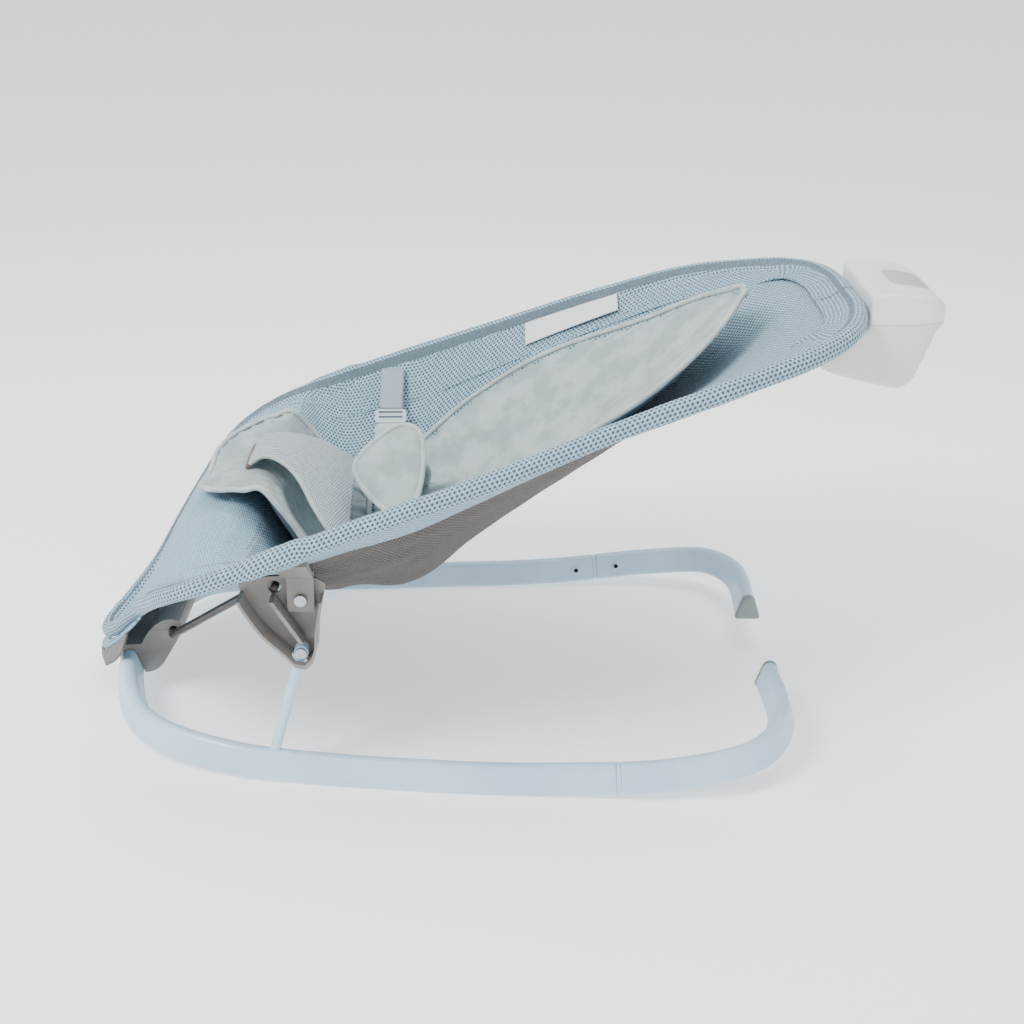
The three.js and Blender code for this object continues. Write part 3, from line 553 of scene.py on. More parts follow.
def rail_screw(name, line, distance):
    place_, _, out, _ = (v[0] for v in frames(line, np.array([distance])))
    inward = -out
    normal = unit(inward * math.cos(SCREW_TILT) + np.array([0, 0, math.sin(SCREW_TILT)]))
    seat = place_ + inward * 9.7 + np.array([0, 0, 14.0])
    head = lathe(name, seat, normal, SCREW_PROFILE)
    dress(head, ENAMEL, SOCKET_PAINTED_SHADE)
    # The drive hollow takes the near black colour: painted shade in the recess.
    for face in head.data.polygons:
        c = np.array(face.center) * 1000 - SHIFT - seat
        flat = np.linalg.norm(c - normal * (c @ normal))
        face.material_index = 1 if flat < 2.3 and c @ normal > 0.5 else 0
    return head


def add_base():
    line = rail_line()
    joint = line.length - REAR_TUBE
    reach = REAR_TUBE + COLLAR + EDGE
    front = rail_tube("front_rail", line, reach, line.length - reach, 150)
    place(dress(front, ENAMEL), "base", "base_enamel", "base_front_tube")
    tip = line.length - CAP_FLANGE - EDGE
    for label, side in SIDES:
        def at(d):
            return d if side > 0 else line.length - d

        ends = sorted((at(joint + COLLAR + EDGE), at(tip)))
        rear = rail_tube(f"rear_rail_{label}", line, *ends, 70)
        place(dress(rear, ENAMEL), "base", "base_enamel", f"base_rear_tube_{label}")
        cap_insets = [(0.2, 1.2), (0.6, 0.3), (1.4, -0.5), (4.2, -0.6), (5.4, -0.1), (6.2, 1.2), (6.6, 3.2)]
        distances = np.array([at(tip - 1.4 + d) for d, _ in cap_insets])
        sections = np.stack([rail_section(i, 4.0) for _, i in cap_insets])
        sections = sweep_sections(line, np.clip(distances, 0, line.length), sections)
        cap = tube_mesh(f"end_cap_{label}", sections)
        place(dress(cap, CAP), "base", "end_cap", f"rail_end_cap_{label}")
        for end, offset in (("front", -RAIL_SCREWS), ("rear", RAIL_SCREWS)):
            screw = rail_screw(f"screw_{end}_{label}", line, at(joint + offset))
            place(screw, "base", "fasteners", f"rail_screw_{end}_{label}")


# ---- seat frame line ----
TUBE = 6.5
FRAME_JOINT = -118
FRAME_LINE = [(398, 0, 413), (396, 60, 413), (380, 112, 410), (345, 150, 402), (269, 187, 384),
              (170, 205, 351), (54, 222, 307), (-49, 229, 270), (-118, 232, 243), (-186, 226, 214),
              (-224, 200, 190), (-257, 134, 149), (-287, 64, 103), (-312, 37, 73), (-327, 18, 58), (-331, 0, 55)]
SLING_SAG = [(-335, 0), (-300, -3), (-262, -18), (-222, -24), (-190, -16), (-168, -2), (-150, 30),
             (-132, 86), (-112, 124), (-60, 149), (-15, 165), (42, 137), (101, 111), (159, 89), (269, 44),
             (345, 10), (392, 3)]
SLING_ROUND = 1.6
HUMP_ROUND = 4.0
INSERT_LIFT = [(-218, 9), (-190, 9), (-168, 14), (-150, 24), (-125, 22), (-100, 14), (-60, 12), (120, 12),
               (200, 19), (302, 46)]

LOOP_LINE = Line(catmull(FRAME_LINE + [(x, -y, z) for x, y, z in FRAME_LINE[-2:0:-1]], True), True)
HALF_LOOP = LOOP_LINE.length / 2


def inward_at(distance):
    """The level direction from the frame tube towards the middle of the seat."""
    t = LOOP_LINE.tangent(distance) * [1, 1, 0]
    t = unit(t)
    return np.stack([-t[..., 1], t[..., 0], np.zeros_like(t[..., 0])], -1)


def frame_distance(x):
    d = np.linspace(0, HALF_LOOP, 4000)
    return float(np.interp(-x, -LOOP_LINE.at(d)[:, 0], d))


EDGE_INSET = TUBE + 2


def edge_functions():
    d = np.linspace(HALF_LOOP, 60, 700)
    p = LOOP_LINE.at(d) + inward_at(d) * EDGE_INSET
    keep = np.maximum.accumulate(p[:, 0]) == p[:, 0]
    p = p[keep]
    return lambda x: np.interp(x, p[:, 0], p[:, 1]), lambda x: np.interp(x, p[:, 0], p[:, 2])


edge_width, edge_height = edge_functions()
sag_at = smooth_profile(SLING_SAG)
lift_at = smooth_profile(INSERT_LIFT)


def drop_at(x, across):
    sag = sag_at(x)
    hump = ramp(-sag, -14, 14)
    power = SLING_ROUND + (HUMP_ROUND - SLING_ROUND) * hump
    return sag * (1 - np.abs(across) ** power)


def sling_height(x, y):
    across = np.clip(np.abs(y) / np.maximum(edge_width(x), 1), 0, 1)
    return edge_height(x) - drop_at(x, across)


def add_frame_tubes():
    joint = frame_distance(FRAME_JOINT)
    upper = sweep("frame_upper", LOOP_LINE, EDGE - joint, joint - EDGE, 240, circle(TUBE, 20))
    place(dress(upper, BRONZE), "seat", "dark_steel", "seat_frame_upper")
    end = LOOP_LINE.length - joint - EDGE
    lower = sweep("frame_lower", LOOP_LINE, joint + EDGE, end, 160, circle(TUBE, 20))
    place(dress(lower, BRONZE), "seat", "dark_steel", "seat_frame_lower")


# ---- sling ----
CLOTH = 3.0


def sling_points(nu=190, nv=110):
    """The middle of the sling's thickness: rows from the nose to the head, columns from left to right."""
    start = float(np.interp(-322, LOOP_LINE.at(np.linspace(HALF_LOOP, HALF_LOOP - 80, 400))[:, 0],
                            np.linspace(HALF_LOOP, HALF_LOOP - 80, 400)))
    end = 72.0
    d = np.linspace(start, end, nu)
    edge = LOOP_LINE.at(d) + inward_at(d) * (EDGE_INSET - 3)
    v = np.linspace(-1, 1, nv)
    v = np.sign(v) * np.abs(v) ** 0.9
    x = np.broadcast_to(edge[:, :1], (nu, nv))
    y = edge[:, 1:2] * v
    z = edge[:, 2:] - drop_at(edge[:, :1], v[None])
    p = np.stack([x, y, z], -1)
    return p


def add_folds(p):
    """Small folds and a slight unevenness in the cloth, fading out at its sewn edges."""
    n = grid_normals(p)
    across = np.abs(np.linspace(-1, 1, p.shape[1]))[None]
    free = 1 - ramp(across, 0.8, 1.0)
    x = p[..., 0]
    seat = np.exp(-(((x + 60) / 75) ** 2))
    pulls = np.sin(p[..., 1] / 11 + 3 * rough(p, 0.012, 7)) * rough(p, 0.02, 3)
    wide = rough(p, 0.011, 1.0) * 2.2 + rough(p, 0.03, 5.0) * 0.8
    return p + n * ((wide + pulls * 3.5 * seat) * free)[..., None]


def add_sling():
    p = add_folds(sling_points())
    piece = sheet_mesh("sling", p, grid_uv(p), CLOTH)
    dress(piece, MESH, RIBBED, MESH_UNDERSIDE_SHADE)
    # Downward faces outside the ribbed part take the dark brown copy of the mesh: painted shade under the sling.
    for face in piece.data.polygons:
        ribbed = face.center.x * 1000 - SHIFT[0] < -152
        face.material_index = 2 if face.normal.z < 0 and not ribbed else int(ribbed)
    place(piece, "seat", "seat_mesh", "seat_sling")
    return p


def tail_reach(distance):
    """How far the sleeve's two layers run inwards before they meet."""
    x = LOOP_LINE.at(distance)[..., 0]
    return 6 + 30 * ramp(x, -270, -190) - 16 * ramp(x, 360, 396)


def sleeve_section(centre, inward, target, radius, sides=34):
    """The hull of the tube's circle and the sling's cloth at the target, in the plane of the section."""
    flat = np.array([(target - centre) @ inward, (target - centre)[2]])
    length = np.linalg.norm(flat)
    direction = flat / length
    normal = np.array([-direction[1], direction[0]])
    end = 0.9
    lean = math.asin((radius - end) / length)
    wide = np.linspace(math.pi / 2 - lean, 2 * math.pi - math.pi / 2 + lean, sides)
    big = radius * (np.cos(wide)[:, None] * direction + np.sin(wide)[:, None] * normal)
    tip = np.linspace(-(math.pi / 2 - lean), math.pi / 2 - lean, 5)
    small = flat + end * (np.cos(tip)[:, None] * direction + np.sin(tip)[:, None] * normal)
    sag = np.linspace(0, 1, 7)[1:-1, None]
    low = big[-1] * (1 - sag) + small[0] * sag - np.sin(math.pi * sag) * normal * 0.06 * length * 0.3
    high = small[-1] * (1 - sag) + big[0] * sag - np.sin(math.pi * sag) * normal * 0.1 * length
    section = np.vstack([big, low, small, high])
    return centre + section[:, :1] * inward + section[:, 1:] * np.array([0, 0, 1.0])


def add_sleeve():
    d = np.linspace(0, LOOP_LINE.length, 520, endpoint=False)
    centres, inward = LOOP_LINE.at(d), inward_at(d)
    reach = tail_reach(d)
    targets = centres + inward * (EDGE_INSET + reach)[:, None]
    on_sling = sling_height(np.minimum(targets[:, 0], 380), targets[:, 1])
    at_head = ramp(centres[:, 0], 350, 394)
    targets[:, 2] = on_sling * (1 - at_head) + (centres[:, 2] - 5) * at_head
    over_clamp = 2.2 * (1 - ramp(np.abs(centres[:, 0] - FRAME_JOINT), 17, 34))
    uneven = 8.9 + over_clamp + 0.5 * rough(centres, 0.03, 2) + 0.25 * rough(centres, 0.12, 4)
    sections = np.stack([sleeve_section(c, i, t, r) for c, i, t, r in zip(centres, inward, targets, uneven)])
    around = np.cumsum(np.linalg.norm(np.diff(sections, axis=1, prepend=sections[:, :1]), axis=2), axis=1)
    uv = np.stack([np.broadcast_to(d[:, None], around.shape), around], -1) / 1000
    sleeve = tube_mesh("sling_sleeve", sections, uv, closed=True)
    dress(sleeve, MESH, RIBBED)
    place(sleeve, "seat", "seat_mesh")
    return sleeve


# ---- shapes shared by the pieces below ----
def evaluated(piece):
    """The mesh that a piece has with its modifiers."""
    graph = bpy.context.evaluated_depsgraph_get()
    return bpy.data.meshes.new_from_object(piece.evaluated_get(graph))


def applied(piece):
    """Puts a piece's modifiers into its mesh."""
    made = evaluated(piece)
    piece.modifiers.clear()
    piece.data = made
    return piece


def points_of(piece):
    """A piece's points, in millimetres from the low point of the rocker."""
    flat = np.zeros(len(piece.data.vertices) * 3)
    piece.data.vertices.foreach_get("co", flat)
    return flat.reshape(-1, 3) * 1000 - SHIFT


def move_points(piece, points):
    piece.data.vertices.foreach_set("co", ((points + SHIFT) / 1000).ravel())
    piece.data.update()


def keep(material, width, *nodes):
    """Gives CAD nodes their finish and rounded edges."""
    for node in nodes:
        dress(bpy.data.objects[node], material)
        if width:
            bevel(bpy.data.objects[node], width)


def both(name):
    return f"{name}_right", f"{name}_left"


def combine(piece, tool, operation):
    """Adds, cuts or crosses a solid with another, which is then removed."""
    change = piece.modifiers.new(operation.lower(), "BOOLEAN")
    change.operation = operation
    change.solver = "EXACT"
    change.object = tool
    applied(piece)
    bpy.data.objects.remove(tool)
    return piece


def prism(name, outline, low, high, upright=True):
    """An outline in X and Y given height, or one in X and Z given depth."""
    rows = []
    for level in (low, high):
        flat = np.full((len(outline), 1), float(level))
        parts = [outline, flat] if upright else [outline[:, :1], flat, outline[:, 1:]]
        rows.append(np.hstack(parts))
    return tube_mesh(name, np.stack(rows), smooth=False)


def brick(name, low, high):
    (x0, y0, z0), (x1, y1, z1) = low, high
    return prism(name, np.array([(x0, y0), (x1, y0), (x1, y1), (x0, y1)], float), z0, z1)


# ---- struts, springs and hubs ----
WIRE_POINTS = [(-256, 8, 72), (-256, 30, 72), (-256, 51, 72), (-253, 59, 75), (-244, 68, 84),
               (-138, 159, 184), (-131, 168, 191), (-128, 176, 193), (-128, 189, 193)]


def add_wires():
    for label, side in SIDES:
        line = Line(catmull([(x, y * side, z) for x, y, z in WIRE_POINTS]))
        wire = sweep(f"wire_{label}", line, 0, line.length, 90, circle(4, 18))
        place(dress(wire, BRONZE), "springs", "dark_steel", f"spring_wire_{label}")


def add_hardware():
    keep(ENAMEL, 0.5, *both("strut"), *both("rail_coupler"))
    keep(STEEL, 0.4, *both("strut_foot_pin"), *both("strut_head_pin"), *both("bracket_screw"),
         *both("hub_screw"), *both("housing_screw"), "vibration_motor", "battery_cell")
    keep(HUB, 0.9, "front_bracket_body", "front_bracket_cover")
    keep(HUB, 0.7, *both("hub_shell"), *both("hub_arm"))
    keep(BOARD, 0.3, "circuit_board")
    keep(BUCKLE, 0.7, *both("buckle_socket"), *both("buckle_tongue"))
    keep(SHELL_PAINTED_SHADE, 0.4, "battery_door")


# ---- nose ----
def nose_wall(name, reach, top, bottom, rows=70, columns=10, thick=2.4):
    """A wall of cloth under the frame tube round the nose."""
    d = np.linspace(HALF_LOOP + reach, HALF_LOOP - reach, rows)
    tube, inward = LOOP_LINE.at(d), inward_at(d)
    share = np.linspace(0, 1, columns)[None]
    z = tube[:, 2:]
    flare = bottom[0](z) + (top[0](z) - bottom[0](z)) * share
    height = bottom[1](z) + (top[1](z) - bottom[1](z)) * share
    p = tube[:, None] - inward[:, None] * flare[..., None]
    p[..., 2] = height
    p += grid_normals(p) * (rough(p, 0.03, 3) * 1.2 + rough(p, 0.09, 8) * 0.5)[..., None]
    return sheet_mesh(name, p, grid_uv(p), thick), p


def even(value):
    return lambda z: np.full_like(z, value)


def add_nose():
    top = (even(1.0), lambda z: z - TUBE - 4.4)
    cover, grid = nose_wall("nose_side", 130, top, (even(10.0), lambda z: z - 19))
    place(dress(cover, RIBBED), "seat", "seat_mesh", "nose_cover")
    low = (lambda z: 11 + 6 * ramp(z, 57, 70), lambda z: np.maximum(30, z - 39))
    flap, grid = nose_wall("closing_flap", 92, (even(10.0), lambda z: z - 20.4), low)
    place(dress(flap, LOOP), "seat", "hook_loop", "hook_loop_flap")


# ---- head housing ----
SEAM = 404
HOUSING_HALF = 67
DOOR = (380, 446, 36)
PAD_BUTTON = (452, 36, 54)


def curve_outline(start, *parts):
    """Straight lines, given as one point, and quadratic curves, given as two, from a start."""
    out, here = [], start
    for part in parts:
        if len(part) == 2:
            out.extend(quad(here, *part, count=12))
            here = part[1]
        else:
            out.extend(quad(here, np.add(here, part[0]) / 2, part[0], count=4))
            here = part[0]
    return np.array(out, float)


def housing_profile(inset):
    points = curve_outline(
        (353, 374), ((362, 361), (380, 355)), ((432, 343.5),), ((449, 340), (456, 357)), ((472, 396),),
        ((483, 400), (483, 409)), ((481, 424), (462, 429)), ((436, 434), (408, 431)), ((407.5, 399),),
        ((380, 396), (356, 384)), ((353, 374),))
    centre = np.array([418, 388.0])
    return centre + (points - centre) * (1 - inset / np.array([62, 40]))


def housing_plan(inset):
    half, front, rear = HOUSING_HALF - inset, 345 + inset, 486 - inset
    shoulder, arc = half - 18, half * 0.35
    return curve_outline(
        (front, -half + 10), ((380, -half), (425, -half)), ((468, -half), (rear - 6, -shoulder)),
        ((rear, -arc), (rear, 0)), ((rear, arc), (rear - 6, shoulder)), ((468, half), (425, half)),
        ((380, half), (front, half - 10)), ((front, -half + 10),))


def housing_form(name, inset, voxel=2.0, smoothing=14):
    """The housing's rounded outside, or the same form lying inset millimetres inside it."""
    body = prism(name, housing_profile(inset), -110, 110, upright=False)
    combine(body, prism("plan", housing_plan(inset), 330, 440), "INTERSECT")
    even_mesh = body.modifiers.new("even mesh", "REMESH")
    even_mesh.mode = "VOXEL"
    even_mesh.voxel_size = voxel / 1000
    applied(body)
    rounding = body.modifiers.new("rounding", "SMOOTH")
    rounding.iterations = smoothing
    rounding.factor = 0.5
    return applied(body)


def pad_outline(centre, length, width, corner):
    x, y = length / 2, width / 2
    right, left = centre + x, centre - x
    return curve_outline(
        (left + corner, -y), ((right - corner, -y),), ((right, -y), (right, -y + corner)),
        ((right, y - corner),), ((right, y), (right - corner, y)),
        ((left + corner, y),), ((left, y), (left, y - corner)),
        ((left, -y + corner),), ((left, -y), (left + corner, -y)))


def copy_of(piece, name):
    made = bpy.data.objects.new(name, piece.data.copy())
    bpy.context.scene.collection.objects.link(made)
    return made


def finish_shell(piece, material, *nodes):
    piece.data.shade_smooth()
    bevel(piece, 0.7, 2, 40)
    place(dress(piece, material), "seat", "housing_plastic", *nodes)


def add_housing():
    form = housing_form("form", 0)
    core = housing_form("core", 2.6)
    x, length, width = PAD_BUTTON
    pad = prism("pad", pad_outline(x, length, width, 12), 422, 450)
    button = combine(copy_of(form, "pad_button"), pad, "INTERSECT")
    shell = combine(form, core, "DIFFERENCE")
    above = brick("above", (340, -120, SEAM + 0.35), (500, 120, 450))
    upper = combine(copy_of(shell, "housing_upper"), above, "INTERSECT")
    combine(upper, prism("window", pad_outline(x, length + 1, width + 1, 12), 405, 450), "DIFFERENCE")
    below = brick("below", (340, -120, 330), (500, 120, SEAM))
    lower = combine(copy_of(shell, "housing_lower"), below, "INTERSECT")
    combine(lower, brick("doorway", (DOOR[0], -DOOR[2], 330), (DOOR[1], DOOR[2], 372)), "DIFFERENCE")
    bpy.data.objects.remove(shell)
    finish_shell(upper, SHELL, "housing_top_shell")
    # The lower shell takes the darker copy of the housing plastic: painted shade.
    finish_shell(lower, SHELL_PAINTED_SHADE, "housing_bottom_shell")
    bevel(button, 1.2, 3, 40)
    button.data.shade_smooth()
    place(dress(button, BUTTON), "button", "button_plastic", "power_button")


# ---- insert ----
PAD = 8
LEG_PAD = [(-218, 44), (-208, 66), (-185, 88), (-150, 104), (-110, 108), (-66, 84)]
BACK_PAD = [(-58, 100), (-20, 128), (60, 146), (150, 134), (220, 100), (275, 52), (302, 8)]


CURL_FLAT, CURL_WAIST, CURL_AT, CURL_REACH = 8, 26, -128, 26


def pad_middle(x, across, half_at):
    y = half_at(x) * across
    curl = CURL_FLAT + CURL_WAIST * np.exp(-(((x - CURL_AT) / CURL_REACH) ** 2))
    return np.stack([x, y, sling_height(x, y) + lift_at(x) + curl * across**2], -1)


def span(low, high, rows, columns):
    """X from low to high, and the share of the half width from -1 to 1, as a grid."""
    return np.broadcast_arrays(np.linspace(low, high, rows)[:, None], np.linspace(-1, 1, columns)[None])


def pad_grid(widths, nu, nv):
    return pad_middle(*span(widths[0][0], widths[-1][0], nu, nv), smooth_profile(widths))


def pad_blank(name, grid, thickness):
    """A closed pad about a grid, full in the middle and thin at its edges."""
    rows, columns = grid.shape[:2]
    u = np.linspace(0, 1, rows)[:, None]
    v = np.linspace(-1, 1, columns)[None]
    full = np.sqrt(np.clip(1 - np.abs(v) ** 6, 0.04, 1))
    full = full * np.sqrt(np.clip(1 - np.abs(2 * u - 1) ** 12, 0.04, 1))
    n = grid_normals(grid) * (full * thickness / 2)[..., None]
    points = np.vstack([(grid + n).reshape(-1, 3), (grid - n).reshape(-1, 3)])
    under = rows * columns
    faces = strip_faces(rows, columns) + [f[::-1] for f in strip_faces(rows, columns, base=under)]
    rim = rim_indices(rows, columns)
    faces += [(b, a, a + under, b + under) for a, b in zip(rim, rim[1:] + rim[:1])]
    return outward(make_mesh(name, points, faces))


def rim_indices(rows, columns):
    rim = list(range(columns))
    rim += [i * columns + columns - 1 for i in range(1, rows)]
    rim += [(rows - 1) * columns + j for j in range(columns - 2, -1, -1)]
    rim += [i * columns for i in range(rows - 2, 0, -1)]
    return rim


CLOTH_STEPS = 20
STRETCH = 12  # tension, compression and shear alike


def puff(piece, held, voxel=4.0, pressure=4.0, cap=5.0):
    """Inflates a sewn pad with a short cloth simulation, then cuts each move back to the cap in mm.

    held(points) picks the points of its seams.
    """
    even_mesh = piece.modifiers.new("even mesh", "REMESH")
    even_mesh.mode = "VOXEL"
    even_mesh.voxel_size = voxel / 1000
    applied(piece)
    rest = points_of(piece)
    group = piece.vertex_groups.new(name="seams")
    group.add([int(i) for i in np.flatnonzero(held(rest))], 1.0, "REPLACE")
    cloth = piece.modifiers.new("cloth", "CLOTH")
    settings = cloth.settings
    settings.quality = 6
    settings.mass = 0.25
    settings.tension_stiffness = settings.compression_stiffness = settings.shear_stiffness = STRETCH
    settings.bending_stiffness = 0.4
    settings.use_pressure = True
    settings.uniform_pressure_force = pressure
    settings.vertex_group_mass = "seams"
    settings.effector_weights.gravity = 0
    for step in range(1, CLOTH_STEPS + 1):
        bpy.context.scene.frame_set(step)
    made = applied(piece)
    bpy.context.scene.frame_set(1)
    moved = points_of(made) - rest
    length = np.linalg.norm(moved, axis=1, keepdims=True)
    move_points(made, rest + moved * np.minimum(1, cap / np.maximum(length, 1e-9)))
    return made


CREASE_REACH = 60
CREASE_WAVES = 0.36  # radians for each millimetre across
CREASE_EDGE = (0.74, 0.92)  # the shares of the half width between which the folds fade


def crease(piece, waist, half_at, depth=4.6):
    """Gathers that fan out from the waist seam, and the slack of the pile elsewhere."""
    p = points_of(piece)
    fade = np.exp(-np.abs(p[:, 0] - waist) / CREASE_REACH)
    fan = np.sin(p[:, 1] * CREASE_WAVES + 4 * rough(p, 0.02, 3)) * depth * fade
    slack = rough(p * [1, 1, 0.5], 0.028, 11) * 3.4 + rough(p, 0.07, 5) * 1.6
    free = 1 - ramp(np.abs(p[:, 1]) / half_at(p[:, 0]), *CREASE_EDGE)
    p[:, 2] += (fan + slack) * free
    move_points(piece, p)


def finish_pad(piece, slot_name, *nodes):
    smoothing = piece.modifiers.new("soft", "SUBSURF")
    smoothing.levels = smoothing.render_levels = 1
    piece.data.shade_smooth()
    return place(piece, "seat", slot_name, *nodes)


def rim_line(grid, rise=0.0):
    rows, columns = grid.shape[:2]
    rim = grid.reshape(-1, 3)[rim_indices(rows, columns)]
    rim = rim + [0, 0, rise]
    for _ in range(3):
        rim = (np.roll(rim, 1, axis=0) + 2 * rim + np.roll(rim, -1, axis=0)) / 4
    return Line(np.vstack([rim, rim[:1]]), True)


def piping(name, line, radius):
    """A corded edge with a slight unevenness."""
    count = int(line.length / 3)
    d = np.linspace(0, line.length, count, endpoint=False)
    place_, _, side, up = frames(line, d)
    uneven = radius * (1 + 0.12 * rough(place_, 0.08, 6))[:, None, None]
    ring = circle(1, 12)[None] * uneven
    sections = place_[:, None] + ring[..., :1] * side[:, None] + ring[..., 1:] * up[:, None]
    cord = tube_mesh(name, sections, closed=True)
    return place(dress(cord, PIPING), "seat", "insert_velour")


def add_pad(name, widths, waist, node, thickness):
    grid = pad_grid(widths, 72, 46)
    half_at = smooth_profile(widths)
    low, high = widths[0][0], widths[-1][0]

    def seams(p):
        across = np.abs(p[:, 1]) / half_at(p[:, 0])
        return (across > 0.93) | (p[:, 0] < low + 5) | (p[:, 0] > high - 6)

    piece = puff(pad_blank(name, grid, thickness), seams)
    crease(piece, waist, half_at)
    dress(piece, VELOUR, LINING)
    finish_pad(piece, "insert_velour", node)
    for face in piece.data.polygons:
        face.material_index = 1 if face.normal.z < -0.25 else 0
    piping(f"{name}_piping", rim_line(grid, 1.0), 2.7)
    return piece


BAND_HALF = [(-174, 27), (-160, 29), (-140, 36), (-120, 52), (-104, 74), (-88, 90), (-72, 94)]
BAND_HEIGHT = [(-174, 246), (-160, 257), (-140, 262), (-120, 260), (-104, 253), (-88, 243), (-72, 230)]
BAND_DROOP = [(-174, 1), (-150, 5), (-120, 20), (-104, 32), (-88, 40), (-72, 44)]


def add_band():
    """The mesh crotch band, from the slit in the leg pad to both hips."""
    x, across = span(BAND_HALF[0][0], BAND_HALF[-1][0], 60, 48)
    half, height, droop = (smooth_profile(pairs)(x) for pairs in (BAND_HALF, BAND_HEIGHT, BAND_DROOP))
    p = np.stack([x, half * across, height - droop * np.abs(across) ** 1.7], -1)
    p = p + grid_normals(p) * (rough(p, 0.03, 2) * 1.4)[..., None]
    band = sheet_mesh("crotch_band", p, grid_uv(p), 3.6)
    place(dress(band, BAND_MESH), "seat", "seat_mesh", "crotch_restraint")
    slit = Line([(-173, -31, 245), (-174, 0, 247), (-173, 31, 245)])
    # The slit's cord is dark brown: painted shade in the slit.
    place(dress(sweep("slit_edge", slit, 0, slit.length, 20, circle(2.6, 12)), SLIT_PAINTED_SHADE), "seat", "insert_velour")
    for label, side in SIDES:
        edge = p[:, -1 if side > 0 else 0]
        binding = sweep(f"band_binding_{label}", Line(edge), 0, Line(edge).length, 60, circle(2.2, 12))
        place(dress(binding, PIPING), "seat", "seat_mesh")


WING_CORNERS = [(-24, 16, 284), (-66, 50, 258), (-60, 66, 243), (-24, 92, 222), (-8, 84, 232), (-6, 24, 280)]
WING_DROP = {"right": 52, "left": 0}  # the view doesn't show the far wing, which is set 52 mm lower


def add_wings():
    """The padded hip wings: triangles with corded edges, standing up from the waist seam."""
    for label, side in SIDES:
        corners = [(x, y * side, z - WING_DROP[label]) for x, y, z in WING_CORNERS]
        border = Line(catmull(corners, True, 24), True)
        rim = border.at(np.linspace(0, border.length, 72, endpoint=False))
        middle = rim.mean(axis=0)
        rings = [middle + (rim - middle) * share for share in (1, 0.9, 0.75, 0.55, 0.3, 0.1)]
        normal = unit(np.cross(rim[24] - rim[0], rim[48] - rim[0]))
        normal = normal if normal[2] > 0 else -normal
        bulge = [0, 2.2, 3.6, 4.2, 4.5, 4.6]
        upper = [ring + normal * b for ring, b in zip(rings, bulge)]
        lower = [ring - normal * b * 0.7 for ring, b in zip(rings[1:], bulge[1:])]
        piece = tube_mesh(f"hip_wing_pad_{label}", np.stack(upper[::-1] + lower))
        even_rim = np.linalg.norm(points_of(piece)[:, None] - rim[None, ::4], axis=2).min(axis=1)
        p = points_of(piece)
        p += normal * (rough(p, 0.04, 9) * 1.8 * ramp(even_rim, 0, 10))[:, None]
        move_points(piece, p)
        dress(piece, VELOUR)
        finish_pad(piece, "insert_velour", f"hip_wing_{label}")
        piping(f"hip_wing_piping_{label}", border, 2.7)


# ---- waist restraint ----
STRAP_X = -48
STRAP_WIDTH = 25


def add_waist_straps():
    route = [(STRAP_X, 163, 236), (STRAP_X, 180, 248), (STRAP_X, 200, 262),
             (STRAP_X, float(edge_width(STRAP_X)) - 13, float(edge_height(STRAP_X)) - 4)]
    for label, side in SIDES:
        line = Line(catmull([(x, y * side, z) for x, y, z in route]))
        d = np.linspace(0, line.length, 44)
        across = np.linspace(-STRAP_WIDTH / 2, STRAP_WIDTH / 2, 7)
        place_, _, out, _ = frames(line, d)
        p = place_[:, None] + out[:, None] * across[None, :, None]
        uv = np.stack(np.broadcast_arrays(across[None], d[:, None]), -1) / 1000
        strap = sheet_mesh(f"webbing_{label}", p, uv, 2.0)
        place(dress(strap, WEBBING), "seat", "webbing", f"waist_strap_{label}")


def add_label():
    u = np.linspace(98, 196, 50)[:, None]
    share = np.linspace(0.86, 0.965, 14)[None]
    y = share * edge_width(u)
    x = np.broadcast_to(u, y.shape)
    p = np.stack([x, y, sling_height(x, y) + 4.6], -1)
    tag = sheet_mesh("blank_label", p, grid_uv(p), 0.7)
    place(dress(tag, LABEL), "seat", "label", "care_label")


# ---- stitching ----
def stitches(name, line, length=3.2, gap=1.6, radius=0.55):
    """A row of thread stitches along a line, as one piece."""
    points, faces = [], []
    ring = circle(radius, 6)
    for start in np.arange(0, line.length - length, length + gap):
        place_, _, side, up = frames(line, start + np.array([0, length * 0.25, length * 0.75, length]))
        rise = np.array([-0.5, 0.2, 0.2, -0.5])[:, None]
        centres = place_ + up * rise
        base = len(points)
        rows = centres[:, None] + ring[None, :, :1] * side[:, None] + ring[None, :, 1:] * up[:, None]
        points.extend(rows.reshape(-1, 3))
        faces.extend(strip_faces(4, 6, close_columns=True, base=base))
        faces.append(tuple(base + i for i in range(6))[::-1])
        faces.append(tuple(base + 18 + i for i in range(6)))
    made = make_mesh(name, points, faces)
    return place(dress(made, THREAD), "seat", "seat_mesh")


def add_seams(surface):
    """The cross seam under the knees, and the rows of stitches inside the sleeve."""
    row = int(np.argmin(np.abs(surface[:, surface.shape[1] // 2, 0] + 152)))
    across = surface[row] + [0, 0, 1.9]
    stitches("knee_seam", Line(across))
    for label, side in SIDES:
        column = surface.shape[1] - 7 if side > 0 else 6
        line = surface[8:-4, column] + [0, 0, 2.0]
        stitches(f"sleeve_seam_{label}", Line(line))


# ---- camera and light ----
CAMERA_TURN = (24, 0.44, 0.67)  # pitch, yaw and roll in degrees
CAMERA_AT = (0.00405, -1.357, 0.790)
CAMERA_LENS = 51.8


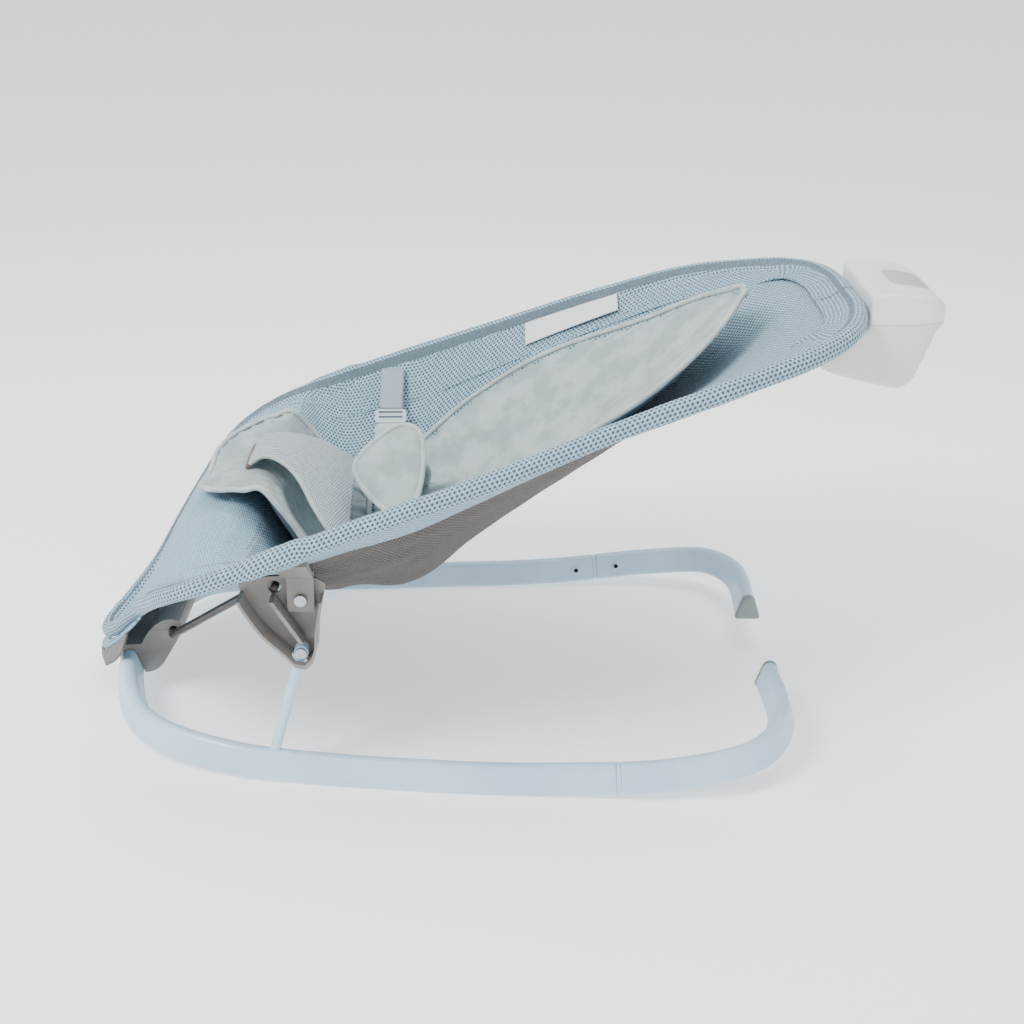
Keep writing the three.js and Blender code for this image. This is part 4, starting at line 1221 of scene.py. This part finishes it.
def add_camera():
    pitch, yaw, roll = map(math.radians, CAMERA_TURN)
    cp, sp, cq, sq = math.cos(pitch), math.sin(pitch), math.cos(yaw), math.sin(yaw)
    right = Vector((cq, -sq, 0))
    ahead = Vector((cp * sq, cp * cq, -sp))
    up = Vector((sp * sq, sp * cq, cp))
    x = math.cos(roll) * right + math.sin(roll) * up
    y = math.cos(roll) * up - math.sin(roll) * right
    turn = Matrix((x, y, -ahead)).transposed()
    data = bpy.data.cameras.new("camera")
    data.lens = CAMERA_LENS
    data.sensor_width = 36
    camera = bpy.data.objects.new("camera", data)
    camera.matrix_world = Matrix.Translation(Vector(CAMERA_AT)) @ turn.to_4x4()
    bpy.context.scene.collection.objects.link(camera)
    bpy.context.scene.camera = camera


def add_area(name, location, size, power, colour=(1, 1, 1)):
    data = bpy.data.lights.new(name, "AREA")
    data.shape = "DISK"
    data.size = size
    data.energy = power
    data.color = colour
    light = bpy.data.objects.new(name, data)
    light.location = location
    light.rotation_euler = (Vector((0, 0, 0.2)) - Vector(location)).to_track_quat("-Z", "Y").to_euler()
    bpy.context.scene.collection.objects.link(light)


FLOOR_REACH = 40000
FLOOR_Z = -0.4


def add_studio():
    world = bpy.data.worlds.new("studio")
    bpy.context.scene.world = world
    world.use_nodes = True
    background = world.node_tree.nodes["Background"]
    background.inputs["Color"].default_value = (0.93, 0.96, 1.0, 1)
    background.inputs["Strength"].default_value = 0.95
    add_area("key", (-1.5, -1.3, 2.3), 1.1, 84)
    add_area("top", (0.4, 0.5, 2.4), 1.6, 30)
    add_area("fill", (1.8, -0.8, 0.9), 1.4, 5, (1.0, 0.94, 0.88))
    turns = ((-1, -1), (1, -1), (1, 1), (-1, 1))
    corners = [(FLOOR_REACH * x, FLOOR_REACH * y, FLOOR_Z) for x, y in turns]
    floor = make_mesh("floor", corners, [(0, 1, 2, 3)])
    f = Finish("pale floor", Roughness=0.9, Emission_Strength=0.55)
    f.shader.inputs["Emission Color"].default_value = (1, 1, 1, 1)
    f.colour(f.mix(f.noise(3, 3), rgb(252, 252, 252), rgb(248, 249, 250)))
    dress(floor, f.material)


add_base()
add_hardware()
add_wires()
add_frame_tubes()
add_sleeve()
surface = add_sling()
add_seams(surface)
add_nose()
add_housing()
add_pad("leg_pad", LEG_PAD, -66, "insert_leg_pad", PAD - 2)
add_pad("back_pad", BACK_PAD, -58, "insert_back_pad", PAD - 2)
add_band()
add_wings()
add_waist_straps()
add_label()
add_camera()
add_studio()
